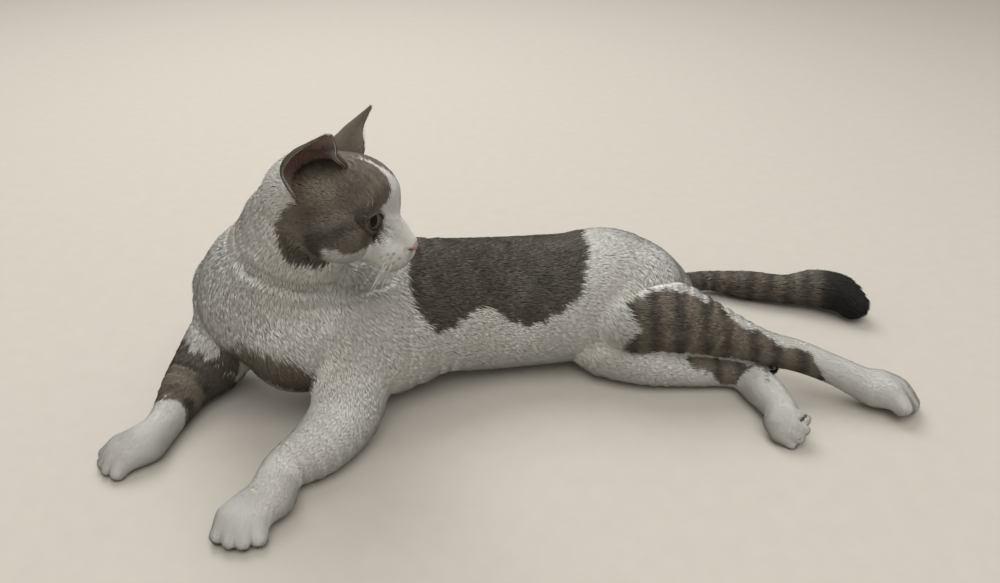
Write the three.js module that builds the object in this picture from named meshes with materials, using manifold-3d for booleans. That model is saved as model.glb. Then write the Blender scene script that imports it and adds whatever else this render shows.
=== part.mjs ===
// A cat at rest on a floor, life size, in millimetres, +Z up. It lies on its right hip and belly with the
// chest propped on both forelegs, the hind legs stretched back, and the head turned round over its left side.
// The body is a field of soft distances: sweeps along bone lines and eggs for muscle, melted together. One
// function turns the field into a closed mesh, a cell at a time, and thin cuts part that into head, neck,
// trunk, tail and legs. The origin is on the floor, in the middle of the patch that the belly rests on.

import * as THREE from "three";
import { mergeVertices } from "three/addons/utils/BufferGeometryUtils.js";
import Module from "manifold-3d";

// ---- driving dimensions, in millimetres and degrees -----------------------------------------------------

const GAP = 0.35; // the thin cut between two neighbouring pieces
const REST = { x: 8, y: 24 }; // the middle of the belly's resting patch, from where the stations are measured
const SETTLE = 2.5; // how far soft flesh is pressed flat where it meets the floor

const EYE = { ahead: 26, aside: 13.2, up: 6.4, radius: 10.8 }; // eyeballs, in the head's own frame
const HEAD = { at: [-118, -74, 201.5], yaw: -13, nod: 14, tilt: -6 };

// An ear stands from its notch to its tip, faces the way its opening does, and is wider before and behind
// that line by these amounts, level by level.
const EAR = {
  bow: [13, 18, 12, 5.5, 1.3],
  wall: [3.4, 3.1, 2.6, 2, 1.2],
};
// The two edges of each ear, from its foot to its tip, in the head's own frame.
const EARS = {
  left: {
    front: [[-8, 29, 10], [2, 21, 24], [3, 22, 38], [-4, 31, 52], [-2.3, 36.5, 67]],
    back: [[-16, 37, 10], [-24, 48, 25], [-21, 50, 40], [-13, 45, 54], [-4.5, 38, 67]],
  },
  right: {
    front: [[6, -8, 28], [5, -14, 38], [2, -28, 48], [2, -35, 57], [-0.5, -38.5, 64.5]],
    back: [[-16, -35, 8], [-30, -40, 26], [-27, -42, 40], [-16, -42, 54], [-5.5, -40.5, 64.5]],
  },
};

// The grid cell of each kind of piece: the finer the form, the smaller the cell.
const CELL = { trunk: 19.5, limb: 12, paw: 7.5, head: 7.2, tail: 12 };

// Stations of a sweep: x, y, z, half width across, half depth from back to belly, roll of the back in degrees.
const TRUNK = [
  [160, 72, 55.5, 25.5, 27, 70],
  [138, 61, 63, 37.5, 42, 68],
  [106, 50.5, 68, 53.5, 50, 62],
  [66, 43, 62, 56, 60, 52],
  [0, 34, 59.5, 54.5, 62, 46],
  [-62, 10.5, 68.5, 57.5, 62, 40],
  [-120, -15.5, 73.5, 59.5, 72.5, 32],
  [-168, -25.5, 98, 54, 63, 26],
  [-198, -35, 106, 41.5, 57, 20],
];
const NECK = [
  [-183, -32, 120, 45, 51, 0],
  [-165, -46, 156, 37.5, 45.5, 0],
  [-142, -58, 184, 32, 36, 0],
  [-128, -68, 198, 29, 31, 0],
];
const TAIL = [
  [146, 84, 54, 18],
  [184, 123, 29, 14],
  [222, 152.5, 18, 11.5],
  [263, 147, 17, 16],
  [300, 137.5, 18.5, 16.5],
  [330, 132.5, 23, 20],
  [352, 123, 24, 20.5],
  [364, 111, 19.5, 17],
];
const FORE_LEFT = [
  [-117.5, -22, 96, 42],
  [-120, -55.5, 62, 35],
  [-124, -91.5, 30, 30],
  [-139, -125, 22, 24.5],
  [-161, -149, 18, 18],
  [-164.5, -176, 17.5, 18],
];
const FORE_RIGHT = [
  [-222, -6, 92, 42],
  [-235.5, -10, 58, 35],
  [-253, -26.5, 32, 30.5],
  [-266, -56, 24, 21.5],
  [-272.5, -92.5, 16, 15],
  [-278, -119.5, 15.5, 16],
];
const HIND_LEFT = [
  [128, 35, 79, 39],
  [116, 14, 65.5, 37.5],
  [146, 7, 65.5, 35.5],
  [190, -1.5, 56.5, 24.5],
  [232, -10, 46, 16.5],
  [268, -13, 38, 14.5],
  [300, -25, 31, 13.5],
  [330, -35.5, 20.5, 15.4],
];
const HIND_RIGHT = [
  [120, 34, 44, 40],
  [92.5, 14, 30, 29],
  [129, -2.5, 24, 25],
  [171.5, -8, 18, 18],
  [217.5, -10, 16.5, 16],
  [234.5, -35.5, 16, 16.7],
  [242, -62.5, 16.5, 14.3],
];
const PAWS = {
  fore_left: { at: [-180.5, -198.5, 13.1], heading: 267, size: 1.03, tip: 0 },
  fore_right: { at: [-295.5, -129, 11.3], heading: 221, size: 0.98, tip: 0 },
  hind_left: { at: [350.5, -36.5, 15.5], heading: -32, size: 1.18, tip: -18 },
  hind_right: { at: [242.5, -84.5, 16], heading: -44, size: 0.85, tip: 48 },
};

// ---- fields: each takes x, y, z and gives about how far outside the form that point is -------------------

const radians = THREE.MathUtils.degToRad;
const clamp = THREE.MathUtils.clamp;
const lerp = THREE.MathUtils.lerp;

// The smaller of two distances, with the crease between them rounded over a width of soft.
function melt(a, b, soft) {
  const near = Math.max(soft - Math.abs(a - b), 0) / soft;
  return Math.min(a, b) - (near * near * soft) / 4;
}

const melted = (soft, fields) => (x, y, z) => {
  let d = fields[0](x, y, z);
  for (let i = 1; i < fields.length; i++) d = melt(d, fields[i](x, y, z), soft);
  return d;
};

// How far a point is outside an ellipse-like form with half sizes a, b and c.
function eggDistance(u, v, w, a, b, c) {
  const k0 = Math.sqrt((u / a) ** 2 + (v / b) ** 2 + (w / c) ** 2);
  const k1 = Math.sqrt((u / (a * a)) ** 2 + (v / (b * b)) ** 2 + (w / (c * c)) ** 2);
  return k1 < 1e-9 ? -Math.min(a, b, c) : (k0 * (k0 - 1)) / k1;
}

// An egg at a centre with three half sizes, turned by yaw about Z and then pitched nose-down about Y.
function egg([cx, cy, cz], [a, b, c], yaw = 0, pitch = 0) {
  const [cosY, sinY] = [Math.cos(radians(yaw)), Math.sin(radians(yaw))];
  const [cosP, sinP] = [Math.cos(radians(pitch)), Math.sin(radians(pitch))];
  return (x, y, z) => {
    const along = (x - cx) * cosY + (y - cy) * sinY;
    const side = (y - cy) * cosY - (x - cx) * sinY;
    const up = z - cz;
    return eggDistance(along * cosP - up * sinP, side, up * cosP + along * sinP, a, b, c);
  };
}

// A bar with round ends whose radius runs from ra to rb.
function bar([ax, ay, az], ra, [bx, by, bz], rb) {
  const [dx, dy, dz] = [bx - ax, by - ay, bz - az];
  const square = dx * dx + dy * dy + dz * dz;
  return (x, y, z) => {
    const t = clamp(((x - ax) * dx + (y - ay) * dy + (z - az) * dz) / square, 0, 1);
    return Math.hypot(x - ax - t * dx, y - ay - t * dy, z - az - t * dz) - lerp(ra, rb, t);
  };
}

// The value at t, from 0 to 1, of a smooth curve through a list of numbers.
function smoothValue(list, t) {
  const place = t * (list.length - 1);
  const i = Math.min(Math.floor(place), list.length - 2);
  const at = (k) => list[clamp(k, 0, list.length - 1)];
  const f = place - i;
  const [p0, p1, p2, p3] = [at(i - 1), at(i), at(i + 1), at(i + 2)];
  const cubic = (3 * p1 - p0 - 3 * p2 + p3) * f + (2 * p0 - 5 * p1 + 4 * p2 - p3);
  return p1 + 0.5 * f * (p2 - p0 + f * cubic);
}

// A body of oval section along a smooth line through its stations.
function sweep(stations, perStation = 4) {
  const count = (stations.length - 1) * perStation;
  const column = (k, t, other) => smoothValue(stations.map((s) => s[k] ?? s[other]), t);
  const line = [];
  for (let i = 0; i <= count; i++) {
    const t = i / count;
    line.push({
      at: new THREE.Vector3(column(0, t), column(1, t), column(2, t)),
      across: column(3, t),
      deep: column(4, t, 3),
      roll: radians(stations[0][5] === undefined ? 0 : column(5, t)),
    });
  }
  const pieces = line.slice(1).map((end, i) => {
    const start = line[i];
    const along = end.at.clone().sub(start.at);
    const length = along.length();
    along.normalize();
    // The back is the direction nearest to up, rolled about the line; the side is square to both.
    const side = new THREE.Vector3(0, 0, 1).cross(along);
    if (side.length() < 0.2) side.set(1, 0, 0);
    side.normalize().applyAxisAngle(along, start.roll);
    const back = along.clone().cross(side);
    return { start, end, along, length, side, back };
  });
  return (x, y, z) => {
    let least = Infinity;
    for (const { start, end, along, length, side, back } of pieces) {
      const [px, py, pz] = [x - start.at.x, y - start.at.y, z - start.at.z];
      const run = px * along.x + py * along.y + pz * along.z;
      const t = clamp(run / length, 0, 1);
      const u = px * side.x + py * side.y + pz * side.z;
      const v = px * back.x + py * back.y + pz * back.z;
      const a = lerp(start.across, end.across, t);
      const b = lerp(start.deep, end.deep, t);
      least = Math.min(least, eggDistance(u, v, run - t * length, a, b, (a + b) / 2));
    }
    return least;
  };
}

// A field made in a frame of its own, set down where a matrix says.
function placed(field, matrix) {
  const e = matrix.clone().invert().elements;
  return (x, y, z) =>
    field(
      e[0] * x + e[4] * y + e[8] * z + e[12],
      e[1] * x + e[5] * y + e[9] * z + e[13],
      e[2] * x + e[6] * y + e[10] * z + e[14],
    );
}

const turned = ([x, y, z], yaw, nod = 0, tilt = 0, size = 1) =>
  new THREE.Matrix4().compose(
    new THREE.Vector3(x, y, z),
    new THREE.Quaternion().setFromEuler(
      new THREE.Euler(radians(tilt), radians(nod), radians(yaw), "ZYX"),
    ),
    new THREE.Vector3(size, size, size),
  );

// ---- the forms of the cat -------------------------------------------------------------------------------

// The head in its own frame: +X to the nose, +Y to its left, +Z to the crown. Both sides are alike.
function headField() {
  const middle = melted(9, [
    egg([-10, 0, 8], [40, 33, 31.5], 0, 0),
    egg([16.2, 0, 21.5], [28.5, 24, 21], 0, 20),
    bar([20, 0, 14.5], 14.5, [55, 0, -7], 7),
    egg([40, 0, -18], [18, 17, 13]),
    egg([10, 0, -16], [34, 24, 17]),
  ]);
  const sides = melted(7, [
    egg([8, 21, -10], [27, 21, 20], 8),
    egg([48, 8.2, -18.5], [12.5, 9.5, 8.8], 6),
    egg([24, 15, 15], [11, 9, 7.5], 20),
    egg([-14, 22, 14], [18, 15, 15], 0),
  ]);
  const chin = egg([45, 0, -28], [11, 9, 6.8], 0, -12);
  const nosePad = egg([59.5, 0, -8.5], [4.6, 6.4, 4.6], 0, 12);
  return (x, y, z) => {
    const m = Math.abs(y);
    const whole = melt(middle(x, m, z), sides(x, m, z), 8);
    return melt(melt(whole, chin(x, m, z), 4), nosePad(x, m, z), 2.5);
  };
}

// A paw in its own frame: +X to the toes, four toes side by side over the pads.
function pawField() {
  const toes = [-1.5, -0.5, 0.5, 1.5].map((place) => {
    const reach = 12 - 1.9 * place * place;
    return bar([reach - 11, 7.6 * place, 3.4], 7.2, [reach, 9.3 * place, -3.8], 7);
  });
  const ball = egg([-5, 0, 1.2], [19, 17, 12.8], 0, 14);
  const knuckles = melted(2.6, toes);
  return (x, y, z) => melt(knuckles(x, y, z), ball(x, y, z), 6);
}

const headMatrix = turned(HEAD.at, HEAD.yaw, HEAD.nod, HEAD.tilt);
const inHead = (...p) => new THREE.Vector3(...p).applyMatrix4(headMatrix).toArray();
const paw = pawField();
const paws = Object.fromEntries(
  Object.entries(PAWS).map(([name, { at, heading, size, tip }]) => {
    const inner = placed(paw, turned(at, heading, 0, tip, size));
    return [name, (x, y, z) => inner(x, y, z) * size];
  }),
);
const muscles = melted(16, [
  egg([-116, -40, 84], [40, 34, 46], 10),
  egg([-188, -26, 107], [42, 44, 44.5], 0),
  egg([-169, -62, 75.5], [38, 34, 40.5], 0),
  egg([91.5, 40, 81.5], [50.5, 46, 44.5], 0),
  bar([-152, -61, 207.5], 23.5, [-166, -43, 182.5], 24.5),
]);
const torso = melted(18, [sweep(TRUNK), muscles, sweep(NECK)]);
const legs = {
  fore_left: melted(12, [sweep(FORE_LEFT), paws.fore_left]),
  fore_right: melted(12, [sweep(FORE_RIGHT), paws.fore_right]),
  hind_left: melted(12, [sweep(HIND_LEFT), paws.hind_left]),
  hind_right: melted(12, [sweep(HIND_RIGHT), paws.hind_right]),
};
const tail = sweep(TAIL);
// The head doesn't touch the floor, so it isn't lowered with the rest.
const head = placed(headField(), new THREE.Matrix4().makeTranslation(0, 0, SETTLE).multiply(headMatrix));

const cat = (x, y, z) => {
  let d = torso(x, y, z);
  d = melt(d, head(x, y, z), 14);
  d = melt(d, legs.fore_left(x, y, z), 14);
  d = melt(d, legs.fore_right(x, y, z), 14);
  d = melt(d, legs.hind_right(x, y, z), 10);
  d = melt(d, legs.hind_left(x, y, z), 9);
  return melt(d, tail(x, y, z), 8);
};

// ---- from a field to a closed mesh ----------------------------------------------------------------------

// One vertex in each grid cell that the surface passes through, and one square for each grid edge that
// crosses it. Each vertex is then drawn onto the surface along the field's slope.
function skinOf(field, low, high, cell) {
  const n = [0, 1, 2].map((k) => Math.ceil((high[k] - low[k]) / cell) + 1);
  const index = (i, j, k) => i + n[0] * (j + n[1] * k);
  const place = (i, k) => low[k] + i * cell;
  const values = new Float64Array(n[0] * n[1] * n[2]);
  for (let k = 0; k < n[2]; k++)
    for (let j = 0; j < n[1]; j++)
      for (let i = 0; i < n[0]; i++) {
        const edge = [i, j, k].some((v, axis) => v === 0 || v === n[axis] - 1);
        const d = field(place(i, 0), place(j, 1), place(k, 2));
        values[index(i, j, k)] = edge ? Math.max(d, 0.05 * cell) : d;
      }
  const corners = [...Array(8).keys()].map((c) => [c & 1, (c >> 1) & 1, (c >> 2) & 1]);
  const edges = [];
  for (let a = 0; a < 8; a++)
    for (const bit of [1, 2, 4]) if (!(a & bit)) edges.push([corners[a], corners[a | bit]]);
  const vertexOf = new Map();
  const points = [];
  for (let k = 0; k < n[2] - 1; k++)
    for (let j = 0; j < n[1] - 1; j++)
      for (let i = 0; i < n[0] - 1; i++) {
        const sum = [0, 0, 0];
        let crossings = 0;
        for (const [a, b] of edges) {
          const va = values[index(i + a[0], j + a[1], k + a[2])];
          const vb = values[index(i + b[0], j + b[1], k + b[2])];
          if (va < 0 === vb < 0) continue;
          const t = va / (va - vb);
          for (let axis = 0; axis < 3; axis++) sum[axis] += a[axis] + t * (b[axis] - a[axis]);
          crossings++;
        }
        if (!crossings) continue;
        vertexOf.set(index(i, j, k), points.length);
        points.push([i, j, k].map((v, axis) => place(v + sum[axis] / crossings, axis)));
      }
  for (const p of points) drawOnto(field, p, cell);
  const faces = [];
  const steps = [[1, 0, 0], [0, 1, 0], [0, 0, 1]];
  for (let k = 0; k < n[2] - 1; k++)
    for (let j = 0; j < n[1] - 1; j++)
      for (let i = 0; i < n[0] - 1; i++)
        steps.forEach((step, axis) => {
          const here = values[index(i, j, k)] < 0;
          const there = values[index(i + step[0], j + step[1], k + step[2])] < 0;
          if (here === there) return;
          const [u, v] = [steps[(axis + 1) % 3], steps[(axis + 2) % 3]];
          const around = [[0, 0], [1, 0], [1, 1], [0, 1]].map(([p, q]) =>
            vertexOf.get(index(i - p * u[0] - q * v[0], j - p * u[1] - q * v[1], k - p * u[2] - q * v[2])),
          );
          if (!here) around.reverse();
          const [a, b, c, d] = around;
          const span = (p, q) => Math.hypot(...points[p].map((w, m) => w - points[q][m]));
          faces.push(...(span(a, c) < span(b, d) ? [a, b, c, a, c, d] : [b, c, d, b, d, a]));
        });
  return new THREE.BufferGeometry()
    .setAttribute("position", new THREE.Float32BufferAttribute(points.flat(), 3))
    .setIndex(faces);
}

// Moves a point onto the field's surface, by less than half a cell.
function drawOnto(field, p, cell) {
  const h = 0.5;
  for (let pass = 0; pass < 3; pass++) {
    const d = field(...p);
    const slope = [0, 1, 2].map((k) => {
      const q = [...p];
      q[k] += h;
      return (field(...q) - d) / h;
    });
    const square = slope.reduce((s, v) => s + v * v, 0);
    if (square < 1e-6) return;
    const step = clamp(-d / square, -0.2 * cell, 0.2 * cell);
    slope.forEach((v, k) => (p[k] += v * step));
  }
}

// ---- solids, cuts and regions ---------------------------------------------------------------------------

const wasm = await Module();
wasm.setup();

function solidOf(geometry, matrix = new THREE.Matrix4()) {
  const bare = new THREE.BufferGeometry()
    .setAttribute("position", geometry.getAttribute("position"))
    .setIndex(geometry.index);
  const g = mergeVertices(bare.applyMatrix4(matrix), 1e-3);
  return new wasm.Manifold(
    new wasm.Mesh({
      numProp: 3,
      vertProperties: new Float32Array(g.attributes.position.array),
      triVerts: new Uint32Array(g.index.array),
    }),
  );
}

function geometryOf(solid) {
  const m = solid.getMesh();
  const flat = new Float32Array(m.numVert * 3);
  for (let i = 0; i < m.numVert; i++) {
    flat.set(m.vertProperties.subarray(i * m.numProp, i * m.numProp + 3), i * 3);
  }
  return new THREE.BufferGeometry()
    .setAttribute("position", new THREE.BufferAttribute(flat, 3))
    .setIndex(new THREE.BufferAttribute(new Uint32Array(m.triVerts), 1));
}

// A box that starts at a cut face and reaches towards a point: the room that one limb or part fills.
function room({ face, towards, length, wide, tall = wide }, grow = 0) {
  const from = new THREE.Vector3(...face);
  const along = new THREE.Vector3(...towards).sub(from).normalize();
  const side = new THREE.Vector3(0, 0, 1).cross(along).normalize();
  const up = along.clone().cross(side);
  const turn = new THREE.Matrix4().makeBasis(along, side, up);
  turn.setPosition(from.addScaledVector(along, length / 2));
  const box = new THREE.BoxGeometry(length + 2 * grow, wide + 2 * grow, tall + 2 * grow);
  return solidOf(box, turn);
}

// Rooms in the order they are cut; each takes what the rooms before it left.
const ROOMS = {
  head: { face: inHead(-24, 0, -2), towards: inHead(60, 0, 26), length: 110, wide: 150, tall: 112 },
  fore_left_paw: { face: [-158, -170, 14], towards: [-178, -212, 10], length: 75, wide: 72 },
  fore_right_paw: { face: [-275, -104, 14], towards: [-296, -132, 10], length: 65, wide: 62 },
  hind_left_foot: { face: [282, -17, 30], towards: [350, -42, 15], length: 110, wide: 60 },
  hind_left_shin: { face: [170, 2, 58], towards: [260, -14, 36], length: 150, wide: 64 },
  hind_right_foot: { face: [222, -24, 14], towards: [243, -90, 14], length: 95, wide: 60, tall: 36 },
  fore_left_forearm: { face: [-119, -84, 34], towards: [-150, -150, 18], length: 105, wide: 96 },
  fore_right_forearm: { face: [-246, -24, 34], towards: [-268, -80, 20], length: 90, wide: 90 },
  hind_right_shin: { face: [112, 2, 18], towards: [212, -14, 13], length: 135, wide: 60, tall: 42 },
  tail_tip: { face: [268, 145, 16], towards: [340, 130, 18], length: 140, wide: 80 },
  tail_root: { face: [196, 118, 46], towards: [226, 156, 14], length: 110, wide: 100 },
  neck: { face: [-190, -40, 138], towards: [-166, -62, 182], length: 110, wide: 136, tall: 116 },
  chest: { face: [-88, -4, 74], towards: [-180, -40, 90], length: 220, wide: 300 },
  hips: { face: [78, 40, 66], towards: [160, 62, 66], length: 200, wide: 260 },
  belly: { face: [-330, -20, 120], towards: [0, -20, 120], length: 720, wide: 480, tall: 330 },
};

// Everything above the floor, which presses the resting places flat.
const aboveFloor = solidOf(new THREE.BoxGeometry(1200, 900, 500), turned([0, 0, 250], 0));
const sunk = (x, y, z) => cat(x, y, z + SETTLE);

// The skin inside a room, swollen by more than nothing where a neighbour must be kept clear of it.
function skinIn(name, cell, swell = 0, nudge = 0) {
  const { min, max } = room(ROOMS[name]).boundingBox();
  const low = min.map((v) => v - 2 * cell - nudge);
  const high = max.map((v) => v + 2 * cell);
  return solidOf(skinOf((x, y, z) => sunk(x, y, z) - swell, low, high, cell));
}

// Whether each edge still joins two faces once corners a hair apart are taken as one.
function isSound(solid) {
  const { attributes, index } = mergeVertices(geometryOf(solid), 1e-3);
  const uses = new Map();
  for (let i = 0; i < index.count; i += 3) {
    const [a, b, c] = [0, 1, 2].map((k) => index.getX(i + k));
    if (a === b || b === c || a === c) continue;
    for (const [p, q] of [[a, b], [b, c], [c, a]]) {
      const key = Math.min(p, q) * attributes.position.count + Math.max(p, q);
      uses.set(key, (uses.get(key) ?? 0) + 1);
    }
  }
  return [...uses.values()].every((count) => count === 2);
}

// A piece is what its room holds, less the rooms of the others. The grid is shifted a little, again and
// again, until no cut grazes a corner of it.
function cutPiece(name, cell, others, finish = (solid) => solid) {
  for (let nudge = 0; nudge < 5; nudge += 0.37) {
    const whole = skinIn(name, cell, 0, nudge).intersect(room(ROOMS[name])).intersect(aboveFloor);
    const rest = others.reduce((s, other) => s.subtract(room(ROOMS[other], GAP)), whole);
    const piece = largest(finish(rest));
    if (isSound(piece)) return piece;
  }
  throw new Error(name + " has no sound cut");
}

// The largest connected body of a solid: a region's box can clip a stray sliver of a neighbour.
function largest(solid) {
  return solid.decompose().reduce((a, b) => (a.volume() > b.volume() ? a : b));
}

// ---- ears and eyes, in the head's frame -----------------------------------------------------------------

// Closes a stack of rings, each a loop of points, into one body with a fan at both ends.
function stack(rings) {
  const size = rings[0].length;
  const points = rings.flat();
  const faces = [];
  for (let r = 0; r + 1 < rings.length; r++)
    for (let i = 0; i < size; i++) {
      const [a, b] = [r * size + i, r * size + ((i + 1) % size)];
      faces.push(a, b + size, b, a, a + size, b + size);
    }
  for (const [start, flip] of [[0, true], [(rings.length - 1) * size, false]]) {
    const ring = rings[start / size];
    const middle = points.push([0, 1, 2].map((k) => ring.reduce((s, p) => s + p[k], 0) / size)) - 1;
    for (let i = 0; i < size; i++) {
      const [a, b] = [start + i, start + ((i + 1) % size)];
      faces.push(...(flip ? [a, b, middle] : [b, a, middle]));
    }
  }
  return new THREE.BufferGeometry()
    .setAttribute("position", new THREE.Float32BufferAttribute(points.flat(), 3))
    .setIndex(faces);
}

// A cupped ear. Its section is a bow between its two edges, with a wall that thins to the tip.
function earGeometry({ front, back }, side, levels = 7, arc = 6) {
  const at = (edge, v) => new THREE.Vector3(...[0, 1, 2].map((k) => smoothValue(edge.map((p) => p[k]), v)));
  const up = at(front, 1).sub(at(front, 0).lerp(at(back, 0), 0.5)).normalize();
  const fore = at(front, 0.4).sub(at(back, 0.4)).normalize();
  const out = up.clone().cross(fore).multiplyScalar(side).normalize();
  const rings = [];
  for (let level = 0; level <= levels; level++) {
    const v = level / levels;
    const middle = at(front, v).lerp(at(back, v), 0.5);
    const half = at(front, v).sub(middle);
    const [bow, wall] = [smoothValue(EAR.bow, v), smoothValue(EAR.wall, v)];
    const ring = [];
    for (const [inset, way] of [[0, -side], [wall, side]])
      for (let i = 0; i <= arc; i++) {
        const angle = way * radians(92) * ((2 * i) / arc - 1);
        const p = middle.clone().addScaledVector(half, Math.sin(angle) * (1 - (0.6 * inset) / half.length()));
        p.addScaledVector(out, -(bow - inset) * Math.cos(angle));
        ring.push(p.toArray());
      }
    rings.push(ring);
  }
  return stack(rings);
}

// ---- the pieces -----------------------------------------------------------------------------------------

const COAT = {
  white: new THREE.MeshStandardMaterial({ name: "white_fur", color: 0xcfcbc3, roughness: 0.85 }),
  grey: new THREE.MeshStandardMaterial({ name: "grey_fur", color: 0x5d5650, roughness: 0.85 }),
  eye: new THREE.MeshStandardMaterial({ name: "eye", color: 0x6b6a3f, roughness: 0.15 }),
};

const group = new THREE.Group();
group.position.set(-REST.x, -REST.y, 0);

function add(name, solid, material) {
  const mesh = new THREE.Mesh(geometryOf(solid), material);
  mesh.name = name;
  group.add(mesh);
}

const order = Object.keys(ROOMS);
const before = (name) => order.slice(0, order.indexOf(name));
const eyeball = (side, grow) =>
  solidOf(
    new THREE.SphereGeometry(EYE.radius + grow, 12, 8),
    headMatrix.clone().multiply(turned([EYE.ahead, side * EYE.aside, EYE.up], 0)),
  );

const pieceCell = (name) => {
  if (name === "head") return CELL.head;
  if (/paw|foot/.test(name)) return CELL.paw;
  if (/forearm|shin/.test(name)) return CELL.limb;
  return /tail/.test(name) ? CELL.tail : CELL.trunk;
};

const socketed = (solid) => [1, -1].reduce((s, side) => s.subtract(eyeball(side, GAP)), solid);
const solids = {};
for (const name of order) {
  solids[name] = cutPiece(name, pieceCell(name), before(name), name === "head" ? socketed : undefined);
}
const skull = skinIn("head", CELL.head, 2 * GAP);
for (const [name, side] of [["left", 1], ["right", -1]]) {
  const ear = solidOf(earGeometry(EARS[name], side), headMatrix);
  solids["ear_" + name] = largest(ear.subtract(skull));
}
solids.eye_left = eyeball(1, 0);
solids.eye_right = eyeball(-1, 0);

for (const [name, solid] of Object.entries(solids)) {
  const grey = /ear|tail/.test(name);
  add(name, solid, /eye/.test(name) ? COAT.eye : grey ? COAT.grey : COAT.white);
}

export default group;
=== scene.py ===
# %% [markdown]
# # A cat lying on a floor
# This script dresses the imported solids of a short-haired cat in skin, eyes, whiskers and coat. The solids
# stay where they are: the skin is made from copies of them, shrunk by the depth of the fur, and the fur is
# 350,000 thin solid tufts that fill the room between the skin and the old outline.

# %% The frame and the tools
import math

import bmesh
import bpy
import numpy as np
from mathutils import Matrix, Vector


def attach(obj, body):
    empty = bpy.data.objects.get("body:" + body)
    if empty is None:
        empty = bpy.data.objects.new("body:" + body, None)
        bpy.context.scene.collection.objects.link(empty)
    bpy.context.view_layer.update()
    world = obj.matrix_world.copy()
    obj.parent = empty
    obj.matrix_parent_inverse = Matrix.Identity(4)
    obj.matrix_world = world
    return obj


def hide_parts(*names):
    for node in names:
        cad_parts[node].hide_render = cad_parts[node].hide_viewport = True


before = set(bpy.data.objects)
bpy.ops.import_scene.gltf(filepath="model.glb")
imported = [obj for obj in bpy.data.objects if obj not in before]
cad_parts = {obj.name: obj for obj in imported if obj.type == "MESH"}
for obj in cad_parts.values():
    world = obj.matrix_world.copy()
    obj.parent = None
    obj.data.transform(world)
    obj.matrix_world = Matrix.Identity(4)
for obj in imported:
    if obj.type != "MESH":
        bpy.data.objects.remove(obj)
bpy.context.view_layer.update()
scene = bpy.context.scene
MM = 0.001
chance = np.random.default_rng(11)

# %% [markdown]
# ## Helpers for numbers
# Everything below is worked out in millimetres on whole arrays of points at once, which is quick enough to
# treat a hundred thousand points of skin. `step` is the soft switch that a maker would paint as a fade.


# %% Small helpers
def step(value, low, high):
    t = np.clip((value - low) / (high - low), 0, 1)
    return t * t * (3 - 2 * t)


def mix(a, b, t):
    return a + (b - a) * t


def unit(v):
    return v / np.maximum(np.linalg.norm(v, axis=-1, keepdims=True), 1e-9)


def flattened(v, normal):
    """The unit directions along the skin that are nearest to v."""
    return unit(v - (v * normal).sum(1, keepdims=True) * normal)


def bump(value, width):
    """A smooth hump: 1 where value is 0, and next to nothing beyond twice the width."""
    return np.exp(-((value / width) ** 2))


def smooth_curve(values, place):
    """Values at places, counted in rows, on a smooth curve through the rows of an array."""
    last = len(values) - 1
    i = np.minimum(place.astype(int), last - 1)
    f = (place - i).reshape(-1, *[1] * (values.ndim - 1))
    p0, p1, p2, p3 = (values[np.clip(i + k, 0, last)] for k in (-1, 0, 1, 2))
    cubic = (3 * p1 - p0 - 3 * p2 + p3) * f + (2 * p0 - 5 * p1 + 4 * p2 - p3)
    return p1 + 0.5 * f * (p2 - p0 + f * cubic)


def linear(code):
    """An sRGB hex colour as the linear red, green and blue that Blender works in."""
    c = np.array([int(code[i : i + 2], 16) / 255 for i in (1, 3, 5)])
    return np.where(c <= 0.04045, c / 12.92, ((c + 0.055) / 1.055) ** 2.4)


def ripple(p, size, seed):
    """A smooth irregular value from about -1 to 1, whose bumps are about size millimetres long."""
    waves = np.random.default_rng(seed)
    total = np.zeros(len(p))
    for _ in range(9):
        way = unit(waves.normal(size=3)) * waves.uniform(0.6, 1.5) * math.tau / (2 * size)
        total += np.sin(p @ way + waves.uniform(0, math.tau))
    return total / 4.2


def loop_distance(u, v, loop):
    """How far points are outside a closed outline in a plane; negative inside."""
    far = np.full(len(u), 1e9)
    inside = np.zeros(len(u), bool)
    for (ax, ay), (bx, by) in zip(loop, loop[1:] + loop[:1]):
        dx, dy = bx - ax, by - ay
        t = np.clip(((u - ax) * dx + (v - ay) * dy) / (dx * dx + dy * dy), 0, 1)
        far = np.minimum(far, np.hypot(u - ax - t * dx, v - ay - t * dy))
        crosses = (ay > v) != (by > v)
        inside ^= crosses & (u < ax + (v - ay) * dx / (dy if dy else 1e-9))
    return np.where(inside, -far, far)


# %% [markdown]
# ## The body's bone lines
# Each limb of the cat is a soft tube round a bone line. The stations say where the line runs and how thick
# the limb is there. The same lines serve three times here: they say how deep the skin lies, which way the
# hair lies, and where along a limb a ring or a sock is.

# %% Bone lines
TRUNK = [  # rump to chest: x, y, z, half width, half depth, roll of the back
    [152, 48, 53, 25.5, 27, 70], [130, 37, 60.5, 37.5, 42, 68], [98, 26.5, 65.5, 53.5, 50, 62],
    [58, 19, 59.5, 56, 60, 52], [-8, 10, 57, 54.5, 62, 46], [-70, -13.5, 66, 57.5, 62, 40],
    [-128, -39.5, 71, 59.5, 72.5, 32], [-176, -49.5, 95.5, 54, 63, 26], [-206, -59, 103.5, 41.5, 57, 20],
]
NECK = [
    [-191, -56, 117.5, 45, 51, 0], [-173, -70, 153.5, 37.5, 45.5, 0], [-150, -82, 181.5, 32, 36, 0],
    [-136, -92, 195.5, 29, 31, 0],
]
TAIL = [
    [138, 60, 51.5, 18], [176, 99, 26.5, 14], [214, 128.5, 15.5, 11.5], [255, 123, 14.5, 16],
    [292, 113.5, 16, 16.5], [322, 108.5, 20.5, 20], [344, 99, 21.5, 20.5], [356, 87, 17, 17],
]
FORE_LEFT = [
    [-125.5, -46, 93.5, 42], [-128, -79.5, 59.5, 35], [-132, -115.5, 27.5, 30], [-147, -149, 19.5, 24.5],
    [-169, -173, 15.5, 18], [-172.5, -200, 15, 18],
]
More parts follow.
